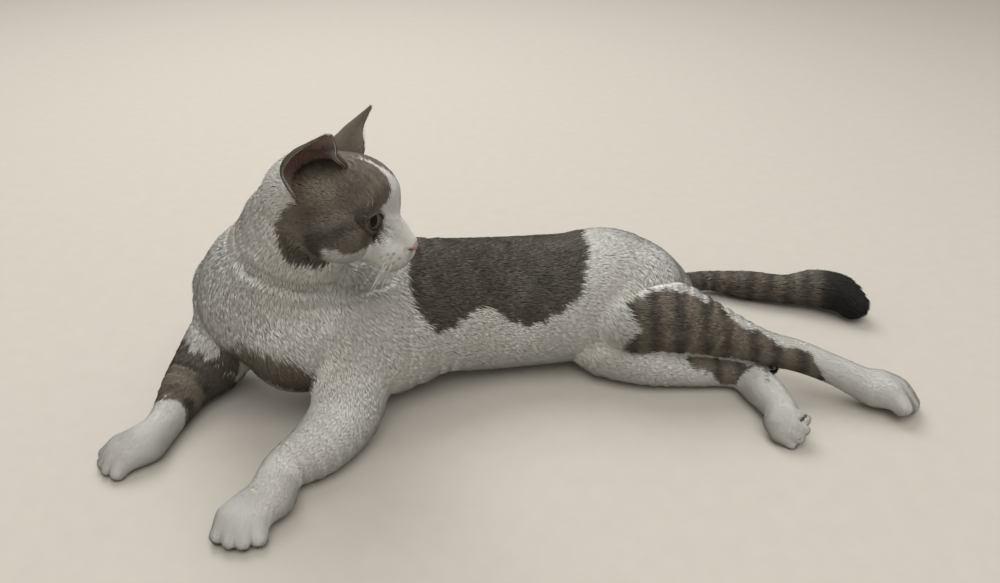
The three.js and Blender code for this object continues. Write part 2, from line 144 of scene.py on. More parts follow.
FORE_RIGHT = [
    [-230, -30, 89.5, 42], [-243.5, -34, 55.5, 35], [-261, -50.5, 29.5, 30.5], [-274, -80, 21.5, 21.5],
    [-280.5, -116.5, 13.5, 15], [-286, -143.5, 13, 16],
]
HIND_LEFT = [
    [120, 11, 76.5, 39], [108, -10, 63, 37.5], [138, -17, 63, 35.5], [182, -25.5, 54, 24.5],
    [224, -34, 43.5, 16.5], [260, -37, 35.5, 14.5], [292, -49, 28.5, 13.5], [322, -59.5, 18, 15.4],
]
HIND_RIGHT = [
    [112, 10, 41.5, 40], [84.5, -10, 27.5, 29], [121, -26.5, 21.5, 25], [163.5, -32, 15.5, 18],
    [209.5, -34, 14, 16], [226.5, -59.5, 13.5, 16.7], [234, -86.5, 14, 14.3],
]
PAWS = {  # middle, heading, roll, size
    "fore_left": ([-188.5, -222.5, 10.6], 267, 0, 1.03), "fore_right": ([-303.5, -153, 8.8], 221, 0, 0.98),
    "hind_left": ([342.5, -60.5, 13], -32, -18, 1.18), "hind_right": ([234.5, -108.5, 13.5], -44, 48, 0.85),
}


# %% Soft distances
def egg_distance(u, v, w, a, b, c):
    k0 = np.sqrt((u / a) ** 2 + (v / b) ** 2 + (w / c) ** 2)
    k1 = np.sqrt((u / (a * a)) ** 2 + (v / (b * b)) ** 2 + (w / (c * c)) ** 2)
    return k0 * (k0 - 1) / np.maximum(k1, 1e-6)


def melt(a, b, soft):
    near = np.maximum(soft - np.abs(a - b), 0) / soft
    return np.minimum(a, b) - near * near * soft / 4


def turning(yaw, nod, tilt):
    """The matrix that turns a form by tilt about X, then nod about Y, then yaw about Z."""
    turns = [Matrix.Rotation(math.radians(a), 3, axis) for a, axis in ((yaw, "Z"), (nod, "Y"), (tilt, "X"))]
    return np.array(turns[0] @ turns[1] @ turns[2])


class Limb:
    """A tube round a smooth line, asked for its distance, place along the line and lie at any points."""

    def __init__(self, stations, pieces=4):
        rows = np.array([s if len(s) == 6 else [*s, s[3], 0] for s in stations], float)
        last = len(rows) - 1
        self.line = smooth_curve(rows, np.linspace(0, last, last * pieces + 1))
        self.flat_roll = len(stations[0]) != 6
        run = np.linalg.norm(np.diff(self.line[:, :3], axis=0), axis=1)
        self.starts = np.concatenate([[0], np.cumsum(run)])

    def near(self, p):
        """For each point: distance outside, millimetres along the line, direction of the line, angle."""
        n = len(p)
        best = np.full(n, 1e9)
        along, angle = np.zeros(n), np.zeros(n)
        way = np.zeros((n, 3))
        for k in range(len(self.line) - 1):
            start, end = self.line[k], self.line[k + 1]
            axis = end[:3] - start[:3]
            length = np.linalg.norm(axis)
            axis = axis / length
            side = np.cross([0, 0, 1], axis)
            side = side / np.linalg.norm(side) if np.linalg.norm(side) > 0.2 else np.array([1.0, 0, 0])
            roll = 0 if self.flat_roll else math.radians(start[5])
            side = side * math.cos(roll) + np.cross(axis, side) * math.sin(roll)
            back = np.cross(axis, side)
            q = p - start[:3]
            run = q @ axis
            t = np.clip(run / length, 0, 1)
            a, b = mix(start[3], end[3], t), mix(start[4], end[4], t)
            u, v = q @ side, q @ back
            d = egg_distance(u, v, run - t * length, a, b, (a + b) / 2)
            nearer = d < best
            best = np.where(nearer, d, best)
            along = np.where(nearer, self.starts[k] + t * length, along)
            angle = np.where(nearer, np.degrees(np.arctan2(u, v)), angle)
            way[nearer] = axis
        return best, along, way, angle


LIMBS = {
    "trunk": Limb(TRUNK), "neck": Limb(NECK), "tail": Limb(TAIL),
    "fore_left": Limb(FORE_LEFT), "fore_right": Limb(FORE_RIGHT),
    "hind_left": Limb(HIND_LEFT), "hind_right": Limb(HIND_RIGHT),
}
print("line lengths in mm:", {name: round(limb.starts[-1]) for name, limb in LIMBS.items()})

# %% [markdown]
# ## Head and paws
# The head and the paws have forms of their own, built from eggs and bars like clay from pellets, each in a
# frame of its own: for the head +X runs to the nose, +Y to the cat's left and +Z to the crown.

# %% Head and paw forms
HEAD_AT = np.array([-126, -98, 201.5])
HEAD_TURN = turning(-13, 14, -6)


def to_head(p):
    return (p - HEAD_AT) @ HEAD_TURN


def from_head(p):
    return np.asarray(p) @ HEAD_TURN.T + HEAD_AT


def mirrored(q):
    """Points in the head's frame, with those on its right brought over to its left."""
    return np.column_stack([q[:, 0], np.abs(q[:, 1]), q[:, 2]])


def egg(p, middle, half, yaw=0, pitch=0):
    q = (p - middle) @ turning(yaw, pitch, 0)
    return egg_distance(q[:, 0], q[:, 1], q[:, 2], *half)


def bar(p, a, ra, b, rb):
    a, b = np.array(a, float), np.array(b, float)
    t = np.clip((p - a) @ (b - a) / ((b - a) @ (b - a)), 0, 1)
    return np.linalg.norm(p - a - t[:, None] * (b - a), axis=1) - mix(ra, rb, t)


def melted(soft, distances):
    total = distances[0]
    for d in distances[1:]:
        total = melt(total, d, soft)
    return total


def head_distance(q):
    """How far points, in the head's own frame, are outside the head."""
    m = mirrored(q)
    middle = melted(9, [
        egg(m, [-10, 0, 8], [40, 33, 31.5]), egg(m, [16.2, 0, 21.5], [28.5, 24, 21], 0, 20),
        bar(m, [20, 0, 14.5], 14.5, [55, 0, -7], 7), egg(m, [40, 0, -18], [18, 17, 13]),
        egg(m, [10, 0, -16], [34, 24, 17]),
    ])
    sides = melted(7, [
        egg(m, [8, 21, -10], [27, 21, 20], 8), egg(m, [48, 8.2, -18.5], [12.5, 9.5, 8.8], 6),
        egg(m, [24, 15, 15], [11, 9, 7.5], 20), egg(m, [-14, 22, 14], [18, 15, 15]),
    ])
    whole = melt(melt(middle, sides, 8), egg(m, [45, 0, -28], [11, 9, 6.8], 0, -12), 4)
    return melt(whole, egg(m, [59.5, 0, -8.5], [4.6, 6.4, 4.6], 0, 12), 2.5)


def paw_place(p, name):
    """Points in the frame of a paw, with +X to its toes, in millimetres of an unscaled paw."""
    middle, heading, tip, size = PAWS[name]
    return (p - middle) @ turning(heading, 0, tip) / size


def paw_distance(p, name, crease=2.6):
    q = paw_place(p, name)
    toes = []
    for place in (-1.5, -0.5, 0.5, 1.5):
        reach = 12 - 1.9 * place * place
        toes.append(bar(q, [reach - 11, 7.6 * place, 3.4], 7.2, [reach, 9.3 * place, -3.8], 7))
    ball = egg(q, [-5, 0, 1.2], [19, 17, 12.8], 0, 14)
    return melt(melted(crease, toes), ball, 6) * PAWS[name][3]


# %% The whole body
def survey(p, crease=2.6):
    """What the body is like at each point: distance outside it, and each part's distance and lie."""
    parts = {name: limb.near(p) for name, limb in LIMBS.items()}
    far = {name: found[0] for name, found in parts.items()}
    far["head"] = head_distance(to_head(p))
    muscle = melted(16, [
        egg(p, [-124, -64, 81.5], [40, 34, 46], 10), egg(p, [-196, -50, 104.5], [42, 44, 44.5]),
        egg(p, [-177, -86, 73], [38, 34, 40.5]), egg(p, [83.5, 16, 79], [50.5, 46, 44.5]),
        bar(p, [-160, -85, 205], 23.5, [-174, -67, 180], 24.5),
    ])
    far["trunk"] = melt(far["trunk"], muscle, 18)
    for name in PAWS:
        far[name + "_paw"] = paw_distance(p, name, crease)
    total = melt(far["trunk"], far["neck"], 18)
    total = melt(total, far["head"], 14)
    for name, soft in (("fore_left", 14), ("fore_right", 14), ("hind_right", 10), ("hind_left", 9)):
        total = melt(total, melt(far[name], far[name + "_paw"], 12), soft)
    total = melt(total, far["tail"], 8)
    return total, far, parts


# %% [markdown]
# ## How the coat changes over the body
# The coat lies flat, about one millimetre deep on the nose and toes and three or four on the flank, neck and
# tail. One function says it all: depth, and the length and width of a tuft. Each part of the body
# counts for more the nearer it is, so one part fades into the next.

# %% Coat depth and lie
def shares(far, names, soft):
    """How much of each point belongs to each part, by how near the parts are."""
    d = np.column_stack([far[n] for n in names])
    w = np.exp(-(d - d.min(1, keepdims=True)) / soft)
    return w / w.sum(1, keepdims=True)


NOSE = np.array([60, 0, -9])
PARTS = ["trunk", "neck", "tail", "fore_left", "fore_right", "hind_left", "hind_right", "head"] + [
    name + "_paw" for name in PAWS
]


def coat_sizes(p, far, parts):
    """Depth of the coat, and length and width of its tufts, in millimetres, at points of the skin."""
    q = to_head(p)
    back = np.linalg.norm(q - NOSE, axis=1)
    plans = {"trunk": (3.2, 11, 0.56), "neck": (3.4, 10.5, 0.54), "tail": (4, 11.5, 0.56)}
    plans["head"] = tuple(
        np.interp(back, [6, 20, 42, 75, 105], sizes)
        for sizes in ([0.8, 1.2, 1.6, 2.3, 3.3], [1.2, 2.6, 4, 6, 10], [0.2, 0.27, 0.33, 0.42, 0.55])
    )
    for name in ("fore_left", "fore_right", "hind_left", "hind_right"):
        s = parts[name][1] / LIMBS[name].starts[-1]
        plans[name] = tuple(
            np.interp(s, [0, 0.35, 0.65, 1], sizes)
            for sizes in ([3.2, 2.8, 2.3, 1.6], [11, 8, 5.8, 4.2], [0.56, 0.48, 0.42, 0.36])
        )
        plans[name + "_paw"] = (1.4, 3.2, 0.32)
    share = shares(far, PARTS, 5)
    return [sum(share[:, i] * plans[name][k] for i, name in enumerate(PARTS)) for k in range(3)]


def coat_lie(p, normal, far, parts):
    """The way the hair lies: nose to tail along the body, down its sides, and out to the toes."""
    q = to_head(p)
    ways = {name: (-1 if name == "neck" else 1) * parts[name][2] for name in LIMBS}
    ways["trunk"] = unit(-parts["trunk"][2] + np.array([0, 0, -0.3]))
    ways["neck"] = unit(ways["neck"] + np.array([0, 0, -0.35]))
    ways["head"] = unit(q - NOSE) @ HEAD_TURN.T
    for name, (_, heading, _, _) in PAWS.items():
        ways[name + "_paw"] = np.tile(turning(heading, 0, 0)[:, 0], (len(p), 1))
    share = shares(far, PARTS, 14)
    way = sum(share[:, i : i + 1] * ways[name] for i, name in enumerate(PARTS))
    way = unit(way) + 0.1 * np.column_stack([ripple(p, 26, 31 + k) for k in range(3)])
    return flattened(way, normal)


# %% [markdown]
# ## One skin
# On the real animal the skin runs unbroken from nose to tail. Copies of the flesh solids are swollen a
# little, so that they overlap across the thin cuts, and a voxel remesh turns them into one closed surface.
# It is then drawn inwards along its normals until it lies under the old outline by the depth of the coat.


# %% Mesh helpers
def points_of(mesh):
    return read_out(mesh.vertices, "co", 3, np.float32).astype(float) / MM


def place_points(mesh, p):
    mesh.vertices.foreach_set("co", (p * MM).astype(np.float32).ravel())
    mesh.update()


def normals_of(mesh):
    return read_out(mesh.vertex_normals, "vector", 3, np.float32).astype(float)


def neighbour_mean(mesh, p):
    """The mean of the points that each point is joined to."""
    a, b = read_out(mesh.edges, "vertices", 2).T
    n = len(p)
    count = np.bincount(a, minlength=n) + np.bincount(b, minlength=n)
    total = [np.bincount(a, p[b, k], n) + np.bincount(b, p[a, k], n) for k in range(3)]
    return np.column_stack(total) / np.maximum(count, 1)[:, None]


def mesh_from(bm, name):
    """Makes a mesh of a bmesh, and lets go of the bmesh."""
    made = bpy.data.meshes.new(name)
    bm.to_mesh(made)
    bm.free()
    return made


def add_object(name, mesh, *materials):
    made = bpy.data.objects.new(name, mesh)
    scene.collection.objects.link(made)
    for material in materials:
        made.data.materials.append(material)
    return made


def smooth_faces(mesh):
    mesh.polygons.foreach_set("use_smooth", np.ones(len(mesh.polygons), bool))


def store(mesh, name, kind, values):
    """Stores a colour or a vector for each point of a mesh, as an attribute."""
    made = mesh.attributes.new(name, kind, "POINT")
    key = "color" if kind == "FLOAT_COLOR" else "vector"
    made.data.foreach_set(key, values.astype(np.float32).ravel())


def read_out(items, key, width, kind=np.int32):
    """What a mesh holds under a key for each of its items, as rows of an array."""
    flat = np.empty(len(items) * width, kind)
    items.foreach_get(key, flat)
    return flat.reshape(-1, width)


def settle(obj):
    """Makes what the modifiers show the object's own mesh."""
    bpy.context.view_layer.update()
    shown = obj.evaluated_get(bpy.context.evaluated_depsgraph_get())
    old, obj.data = obj.data, bpy.data.meshes.new_from_object(shown)
    obj.modifiers.clear()
    bpy.data.meshes.remove(old)


def refine(obj, wanted):
    """Halves the edges whose two ends are wanted."""
    bm = bmesh.new()
    bm.from_mesh(obj.data)
    edges = [e for e in bm.edges if wanted[e.verts[0].index] and wanted[e.verts[1].index]]
    bmesh.ops.subdivide_edges(bm, edges=edges, cuts=1, use_grid_fill=True)
    bm.to_mesh(obj.data)
    bm.free()


# %% Join the flesh
VOXEL = 5.2
SWELL = 0.4  # a little more than the cut between two solids
body = bmesh.new()
for name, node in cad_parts.items():
    if name.startswith(("eye", "ear")):
        continue
    part = bmesh.new()
    part.from_mesh(node.data)
    bmesh.ops.remove_doubles(part, verts=part.verts, dist=0.001 * MM)
    part.normal_update()
    for v in part.verts:
        v.co += v.normal * SWELL * MM
    swollen = mesh_from(part, "swollen")
    body.from_mesh(swollen)
    bpy.data.meshes.remove(swollen)
skin = add_object("skin", mesh_from(body, "skin"))


def remesh_skin():
    """One closed surface of even squares round all that the skin's shells enclose."""
    remesh = skin.modifiers.new("one surface", "REMESH")
    remesh.mode, remesh.voxel_size = "VOXEL", VOXEL * MM
    settle(skin)
    print("skin remeshed:", len(skin.data.vertices), "points")


remesh_skin()


# %% Draw the skin in under the coat
LOWEST_SKIN = 2.0
WEB = {"off": 0.9, "above": 3, "crumb": 1500}  # how far out a web's faces are, and the size of a loose crumb


def draw_in(passes, crease, slide):
    """Moves the skin to its depth, and slides its points along it so that they stay evenly spread."""
    for _ in range(passes):
        p, normal = points_of(skin.data), normals_of(skin.data)
        total, far, parts = survey(p, crease)
        depth = coat_sizes(p, far, parts)[0]
        p -= normal * np.clip(total + depth, -4, 4)[:, None]
        drift = neighbour_mean(skin.data, p) - p
        drift -= normal * (drift * normal).sum(1, keepdims=True)
        p += slide * drift
        p[:, 2] = np.maximum(p[:, 2], LOWEST_SKIN)
        place_points(skin.data, p)
    return total + depth


def small_islands(bm, fewest):
    """The points of every loose piece of the mesh that has fewer than that many points."""
    found, seen = [], set()
    for start in bm.verts:
        if start in seen:
            continue
        island, border = {start}, {start}
        while border:
            border = {e.other_vert(v) for v in border for e in v.link_edges} - island
            island |= border
        seen |= island
        if len(island) < fewest:
            found.extend(island)
    return found


def cut_webs():
    """Takes out faces that still span the open air between two limbs, and closes each limb again."""
    bm = bmesh.new()
    bm.from_mesh(skin.data)
    bm.faces.ensure_lookup_table()
    middles = np.array([f.calc_center_median() for f in bm.faces]) / MM
    total, far, parts = survey(middles)
    off = total + coat_sizes(middles, far, parts)[0]
    webs = [bm.faces[i] for i in np.nonzero((off > WEB["off"]) & (middles[:, 2] > WEB["above"]))[0]]
    bmesh.ops.delete(bm, geom=webs, context="FACES")
    crumbs = small_islands(bm, WEB["crumb"])
    bmesh.ops.delete(bm, geom=crumbs, context="VERTS")
    holes = [e for e in bm.edges if e.is_boundary]
    filled = bmesh.ops.holes_fill(bm, edges=holes)["faces"]
    bmesh.ops.triangulate(bm, faces=filled)
    bm.to_mesh(skin.data)
    print("web faces cut:", len(webs), "crumbs:", len(crumbs), "holes closed:", len(filled))
    bm.free()


# Where two legs touch, the outline joins them but the skin under it doesn't. A second remesh, half-way in,
# lets go of the web between them.
draw_in(passes=4, crease=2.6, slide=0.3)
cut_webs()
remesh_skin()
left_over = draw_in(passes=6, crease=2.6, slide=0.5)
cut_webs()
print("mm still off after the coarse passes:", round(float(np.abs(left_over).mean()), 3))
subdivide = skin.modifiers.new("finer", "SUBSURF")
subdivide.levels = subdivide.render_levels = 1
settle(skin)

q = to_head(points_of(skin.data))
on_face = (q[:, 0] > 16) & (head_distance(q) < 6) & (q[:, 2] > -40)
on_toes = np.zeros(len(q), bool)
for name in PAWS:
    place = paw_place(points_of(skin.data), name)
    on_toes |= (place[:, 0] > 3) & (np.linalg.norm(place, axis=1) < 34)
refine(skin, on_face | on_toes)
EYE_AT, EYE_RADIUS = np.array([26.4, 13.0, 6.4]), 10.5
q = to_head(points_of(skin.data))
m = mirrored(q)
by_eye = (np.linalg.norm(m - EYE_AT, axis=1) < 17) & (q[:, 0] > 22)
by_nose = (q[:, 0] > 50) & (q[:, 2] > -26) & (q[:, 2] < 2) & (m[:, 1] < 13)
refine(skin, by_eye | by_nose)
left_over = draw_in(passes=3, crease=1.3, slide=0.35)
print("skin points:", len(skin.data.vertices), "mm off:", round(float(np.abs(left_over).mean()), 3))

# %% [markdown]
# ## Lids, nose and mouth
# A cat's lids are thin rims that lie on the eyeball. Round each eye the skin is lifted just over the ball
# outside an almond-shaped opening and sunk just under it inside. The nostrils, the cleft below the nose and
# the mouth are grooves pressed into the skin.

# %% Lids
LID = {"half": 9.2, "upper": 7.8, "lower": 6.0, "slant": -20, "thick": 0.7}
OPENING_AT = (1.9, -0.8)


def eye_axes(side):
    out = unit(np.array([0.82, side * 0.57, 0.05]))
    inner = unit(np.array([0.57, side * -0.82, 0.0]))
    return out, inner, side * np.cross(inner, out)


def lid_gap(q, side):
    """For each point: distance over the ball outside the eye's opening, place from its middle, and height."""
    out, inner, up = eye_axes(side)
    e = q - EYE_AT * [1, side, 1]
    rise = np.clip(e @ up / np.maximum(np.linalg.norm(e, axis=1), 1e-6), -1, 1)
    x = EYE_RADIUS * np.arctan2(e @ inner, e @ out) - OPENING_AT[0]
    y = EYE_RADIUS * np.arcsin(rise) - OPENING_AT[1]
    turn = math.radians(LID["slant"])
    along = x * math.cos(turn) + y * math.sin(turn)
    across = y * math.cos(turn) - x * math.sin(turn)
    reach = np.clip(1 - (along / LID["half"]) ** 2, 0, 1) ** 0.75
    height = np.where(across > 0, LID["upper"], LID["lower"]) * reach
    beyond = np.hypot(np.abs(along) - LID["half"], across)
    gap = np.where(np.abs(along) < LID["half"], np.abs(across) - height, beyond)
    return np.where(e @ out > -4, gap, 99), e, across


def shape_lids(q):
    for side in (1, -1):
        gap, e, _ = lid_gap(q, side)
        r = np.linalg.norm(e, axis=1)
        rim = EYE_RADIUS + LID["thick"]
        sunk = mix(EYE_RADIUS - 1.8, rim, step(gap, -0.8, 0.15))
        roll = 0.5 * bump(gap - 1.3, 0.9)
        outside = mix(rim + roll, np.maximum(r, rim + 0.2), step(gap, 1.0, 7.5))
        shift = np.where(gap < 0.15, sunk, outside) - r
        shift *= np.where(gap < 1, 1, step(side * q[:, 1], 1, 6))
        near = (gap < 13) & (r < 26)
        q = np.where(near[:, None], q + e * (shift / np.maximum(r, 1e-6))[:, None], q)
    return q


# %% Nose and mouth
THROAT = [[-202, -97, 152], [-191, -104, 150], [-166, -109, 141], [-149, -103, 136], [-130, -86, 127],
          [-101, -67, 128]]
MOUTH = [[57.5, 0.8, -19.6], [53, 8, -22.2], [46, 13.2, -24.4], [38, 16.5, -25]]


def line_distance(p, points):
    best = np.full(len(p), 1e9)
    for a, b in zip(points, points[1:]):
        best = np.minimum(best, bar(p, a, 0, b, 0))
    return best


def shape_folds(q):
    m = mirrored(q)
    nostril = np.linalg.norm((m - [60.6, 3.5, -9.6]) / [3.2, 1.9, 1.25], axis=1)
    slit = line_distance(m, [[60.5, 5, -9.4], [58.3, 7.6, -9.6]])
    cleft = line_distance(m, [[64, 0, -12.5], [60, 0, -19]])
    mouth = line_distance(m, MOUTH)
    press = 2.6 * bump(nostril, 1) + 1.3 * bump(slit, 0.9) + (0.9 * bump(cleft, 0.8) + 2.3 * bump(mouth, 1.5))
    inward = unit(np.array([20, 0, -12]) - q)
    return q + inward * press[:, None]


p = points_of(skin.data)
q = to_head(p)
near = np.linalg.norm(q - [30, 0, -5], axis=1) < 60
q[near] = shape_folds(shape_lids(q[near]))
for _ in range(10):  # the hollow round the lids is soft
    around = np.full(len(q), 99.0)
    for side in (1, -1):
        gap, e, _ = lid_gap(q, side)
        around = np.minimum(around, np.where(np.linalg.norm(e, axis=1) < 30, gap, 99))
    soft = 0.5 * step(around, 1.8, 5) * step(-around, -20, -12)
    q = mix(q, neighbour_mean(skin.data, q), soft[:, None])
p = from_head(q)
# The loose skin of the throat folds where the turned neck meets the chest.
fold = 2.6 * bump(np.maximum(line_distance(p, THROAT) - 5.5, 0), 3)
p -= normals_of(skin.data) * fold[:, None]
place_points(skin.data, p)
print("head points shaped:", int(near.sum()), "folded:", int((fold > 0.5).sum()))

# %% [markdown]
# ## Ears
# An ear is a cupped leaf of gristle about two millimetres thick, with a thin hard rim. Two grids are bent to
# its back and its lining by one formula, and their borders are bridged, which gives the rim. The foot of
# each ear is sunk in the head.

# %% Ears
EAR = {"bow": [13, 18, 12, 5.5, 1.3], "wall": [3.4, 3.1, 2.6, 2, 1.2]}
EARS = {  # side of the head, then the front and the back edge of the ear from its foot to its tip
    "left": (
        1, [[-8, 29, 10], [2, 21, 24], [3, 22, 38], [-4, 31, 52], [-2.3, 36.5, 67]],
        [[-16, 37, 10], [-24, 48, 25], [-21, 50, 40], [-13, 45, 54], [-4.5, 38, 67]],
    ),
    "right": (
        -1, [[6, -8, 28], [5, -14, 38], [2, -28, 48], [2, -35, 57], [-0.5, -38.5, 64.5]],
        [[-16, -35, 8], [-30, -40, 26], [-27, -42, 40], [-16, -42, 54], [-5.5, -40.5, 64.5]],
    ),
}


def smooth_value(values, t):
    """The value at t, from 0 to 1, of a smooth curve through a list of numbers."""
    return smooth_curve(np.array(values, float), t * (len(values) - 1))


def ear_edge(points, v):
    return np.column_stack([smooth_value([point[k] for point in points], v) for k in range(3)])


def ear_axes(name):
    side, front, back = EARS[name]
    f, b = ear_edge(front, np.array([0, 0.4, 1])), ear_edge(back, np.array([0, 0.4, 1]))
    up, fore = unit(f[2] - (f[0] + b[0]) / 2), unit(f[1] - b[1])
    return up, unit(np.cross(up, fore) * side), fore


def ear_point(name, angle, v, lining):
    """Points of an ear's back, or of its lining, in the head's frame."""
    _, out, _ = ear_axes(name)
    f, b = (ear_edge(points, v) for points in EARS[name][1:])
    bow, wall = smooth_value(EAR["bow"], v), smooth_value(EAR["wall"], v)
    inset = np.where(lining, wall - 0.3, 0.55)
    half = (f - b) / 2
    reach = np.sin(angle) * (1 - 0.6 * inset / np.linalg.norm(half, axis=1))
    return (f + b) / 2 + half * reach[:, None] - out * ((bow - inset) * np.cos(angle))[:, None]


ear_data = []
ears = bmesh.new()
ears.from_mesh(skin.data)
body_count = len(ears.verts)
for name in EARS:
    sheets = []
    for lining in (False, True):
        verts = bmesh.ops.create_grid(ears, x_segments=36, y_segments=38, size=1)["verts"]
        angle = np.array([v.co.x for v in verts]) * math.radians(92)
        v_up = np.array([v.co.y for v in verts]) * 0.495 + 0.5
        place = from_head(ear_point(name, angle, v_up, lining))
        for v, co in zip(verts, place):
            v.co = Vector(co * MM)
        sheets.append(verts)
        ear_data.append((name, lining, angle, v_up))
    own = set(sheets[0]) | set(sheets[1])
    rim = [e for e in ears.edges if e.is_boundary and e.verts[0] in own]
    bmesh.ops.bridge_loops(ears, edges=rim)
    faces = {f for v in own for f in v.link_faces}
    bmesh.ops.recalc_face_normals(ears, faces=list(faces))
ears.to_mesh(skin.data)
ears.free()
triangles = sum(len(f.vertices) - 2 for f in skin.data.polygons)
print("skin with ears:", len(skin.data.vertices), "points,", triangles, "triangles")

# %% [markdown]
# ## Markings
# The cat is white, with a grey-brown tabby saddle over the back, a mask over the crown and cheeks with a
# white blaze, a tabby thigh, hock and far foreleg in rings, and a ringed tail with a black tip. Each marking
# is an outline drawn on the part that it lies on, in millimetres, with a fade a few millimetres wide whose
# edge a ripple makes uneven. `patch` says how far a point is inside any marking, and `stripe` how dark the
# tabby is there.

# %% Outlines of the markings
SADDLE = [(112, 66), (116, 92), (130, 118), (146, 116), (159, 109), (170, 105), (183, 105), (196, 117),
          (214, 125), (232, 129), (250, 124), (268, 118), (284, 104), (291, 84), (295, 60), (288, 20),
          (270, -35), (235, -48), (200, -50), (165, -42), (138, -28), (116, 12)]
MASK = [(10, 50), (-30, 50), (-34, 40), (-30, 28), (-22, 18), (-15, 13), (-12, 11), (-20, 6), (-27, -4),
        (-36, -17), (-35, -24), (-31, -33), (-26, -41), (-20, -44), (-9, -43), (1, -42), (7, -32),
        (11.5, -20), (10.7, -15), (16, -12.4), (21, -10.5), (24.5, -13.5), (32, -10), (37, -9), (38.3, -4),
        (43, 2), (43, 22), (40, 30), (30, 40)]
# The blaze's two edges: heights up the head, then how far to the left each edge is at those heights.
BLAZE_RIGHT = ([-10, 2, 13, 16, 20, 27.5, 30.5, 37.7, 40.3, 42],
               [-14, -11, -13.4, -12.7, -10.4, -6.7, -4.8, -3.3, -3.7, -6])
BLAZE_LEFT = ([-10, 2, 9, 16, 23, 30, 36, 40, 42], [14, 12, 12.5, 12.5, 9, 5.5, 2, -1, -4])
NAPE_EDGE = ([-24, -20, 6, 14, 30], [26, 21, -9, -7, -2])
# The upper edge of the shin's patch: places along the body, then degrees round the leg.
SHIN_EDGE = ([170, 190, 202, 218, 231, 240, 255, 265, 272, 280],
             [60, -14, -27, -6, -29, -47, -24, -39, -78, -134])
THIGH = [(99, 86), (103, 92), (111, 92), (121, 97), (131, 99), (153, 96), (172, 87), (185, 78), (197, 70),
         (217, 63), (232, 56), (244, 50), (256, 50), (263, 45), (270, 36), (280, 23), (269, 18), (256, 21),
         (243, 21), (229, 28), (211, 36), (190, 39), (178, 38), (161, 43), (145, 43), (129, 43), (115, 38),
         (105, 39), (96, 43), (97, 55), (106, 62), (109, 68), (104, 75)]
HOCK = [(155, 34), (156, 50), (178, 56), (190, 54), (207, 52), (223, 45), (232, 35), (230, 29), (219, 29),
        (210, 26), (205, 19), (204, 12), (195, 9), (185, 14), (178, 22), (165, 23), (158, 28)]
# Under the chest between the forelegs: grey-brown fur, and painted shade beneath the breast.
BREAST_FUR_AND_SHADE = [(-252, 34), (-242, 62), (-236, 77), (-215, 89), (-196, 87), (-178, 83), (-164, 75), (-156, 62),
          (-158, 46), (-165, 40), (-178, 45), (-192, 56), (-204, 60), (-232, 28)]
# Dark bands across the thigh and hock, by place along the body. On the right foreleg, where the sleeve starts
# and ends and where its two rings are, by millimetres from the shoulder.
THIGH_BANDS, HOCK_BANDS = (103, 122, 144, 168, 186, 212, 231, 255, 272), (157, 185, 206)
SLEEVE, UPPER_RING, LOWER_RING = (64, 124), 92, 117
EYE_STREAK = [[28, 23, 8], [22.8, 30, 4], [13.6, 40, -2], [1.6, 41, -9], [4, 39, -20]]
CHEEK_BAND = [[-3, 35, 6], [-6, 38.5, -8], [2.5, 40, -18], [2, 25, -36]]
TEAR = [[39.6, 11.6, 3.2], [42.4, 9.9, 1.6], [43.5, 9.5, 0.5]]
POCKET = [[-18, 27, 29], [-14, 34, 23.5], [-12.5, 37, 17]]
PADS = [[248, -102, 25], [242, -111, 24], [247, -117, 20], [238, -124, 8]]
NAPE = [[-26, 0, 36], [-44, 4, 14], [-60, 16, -16], [-70, 22, -34]]


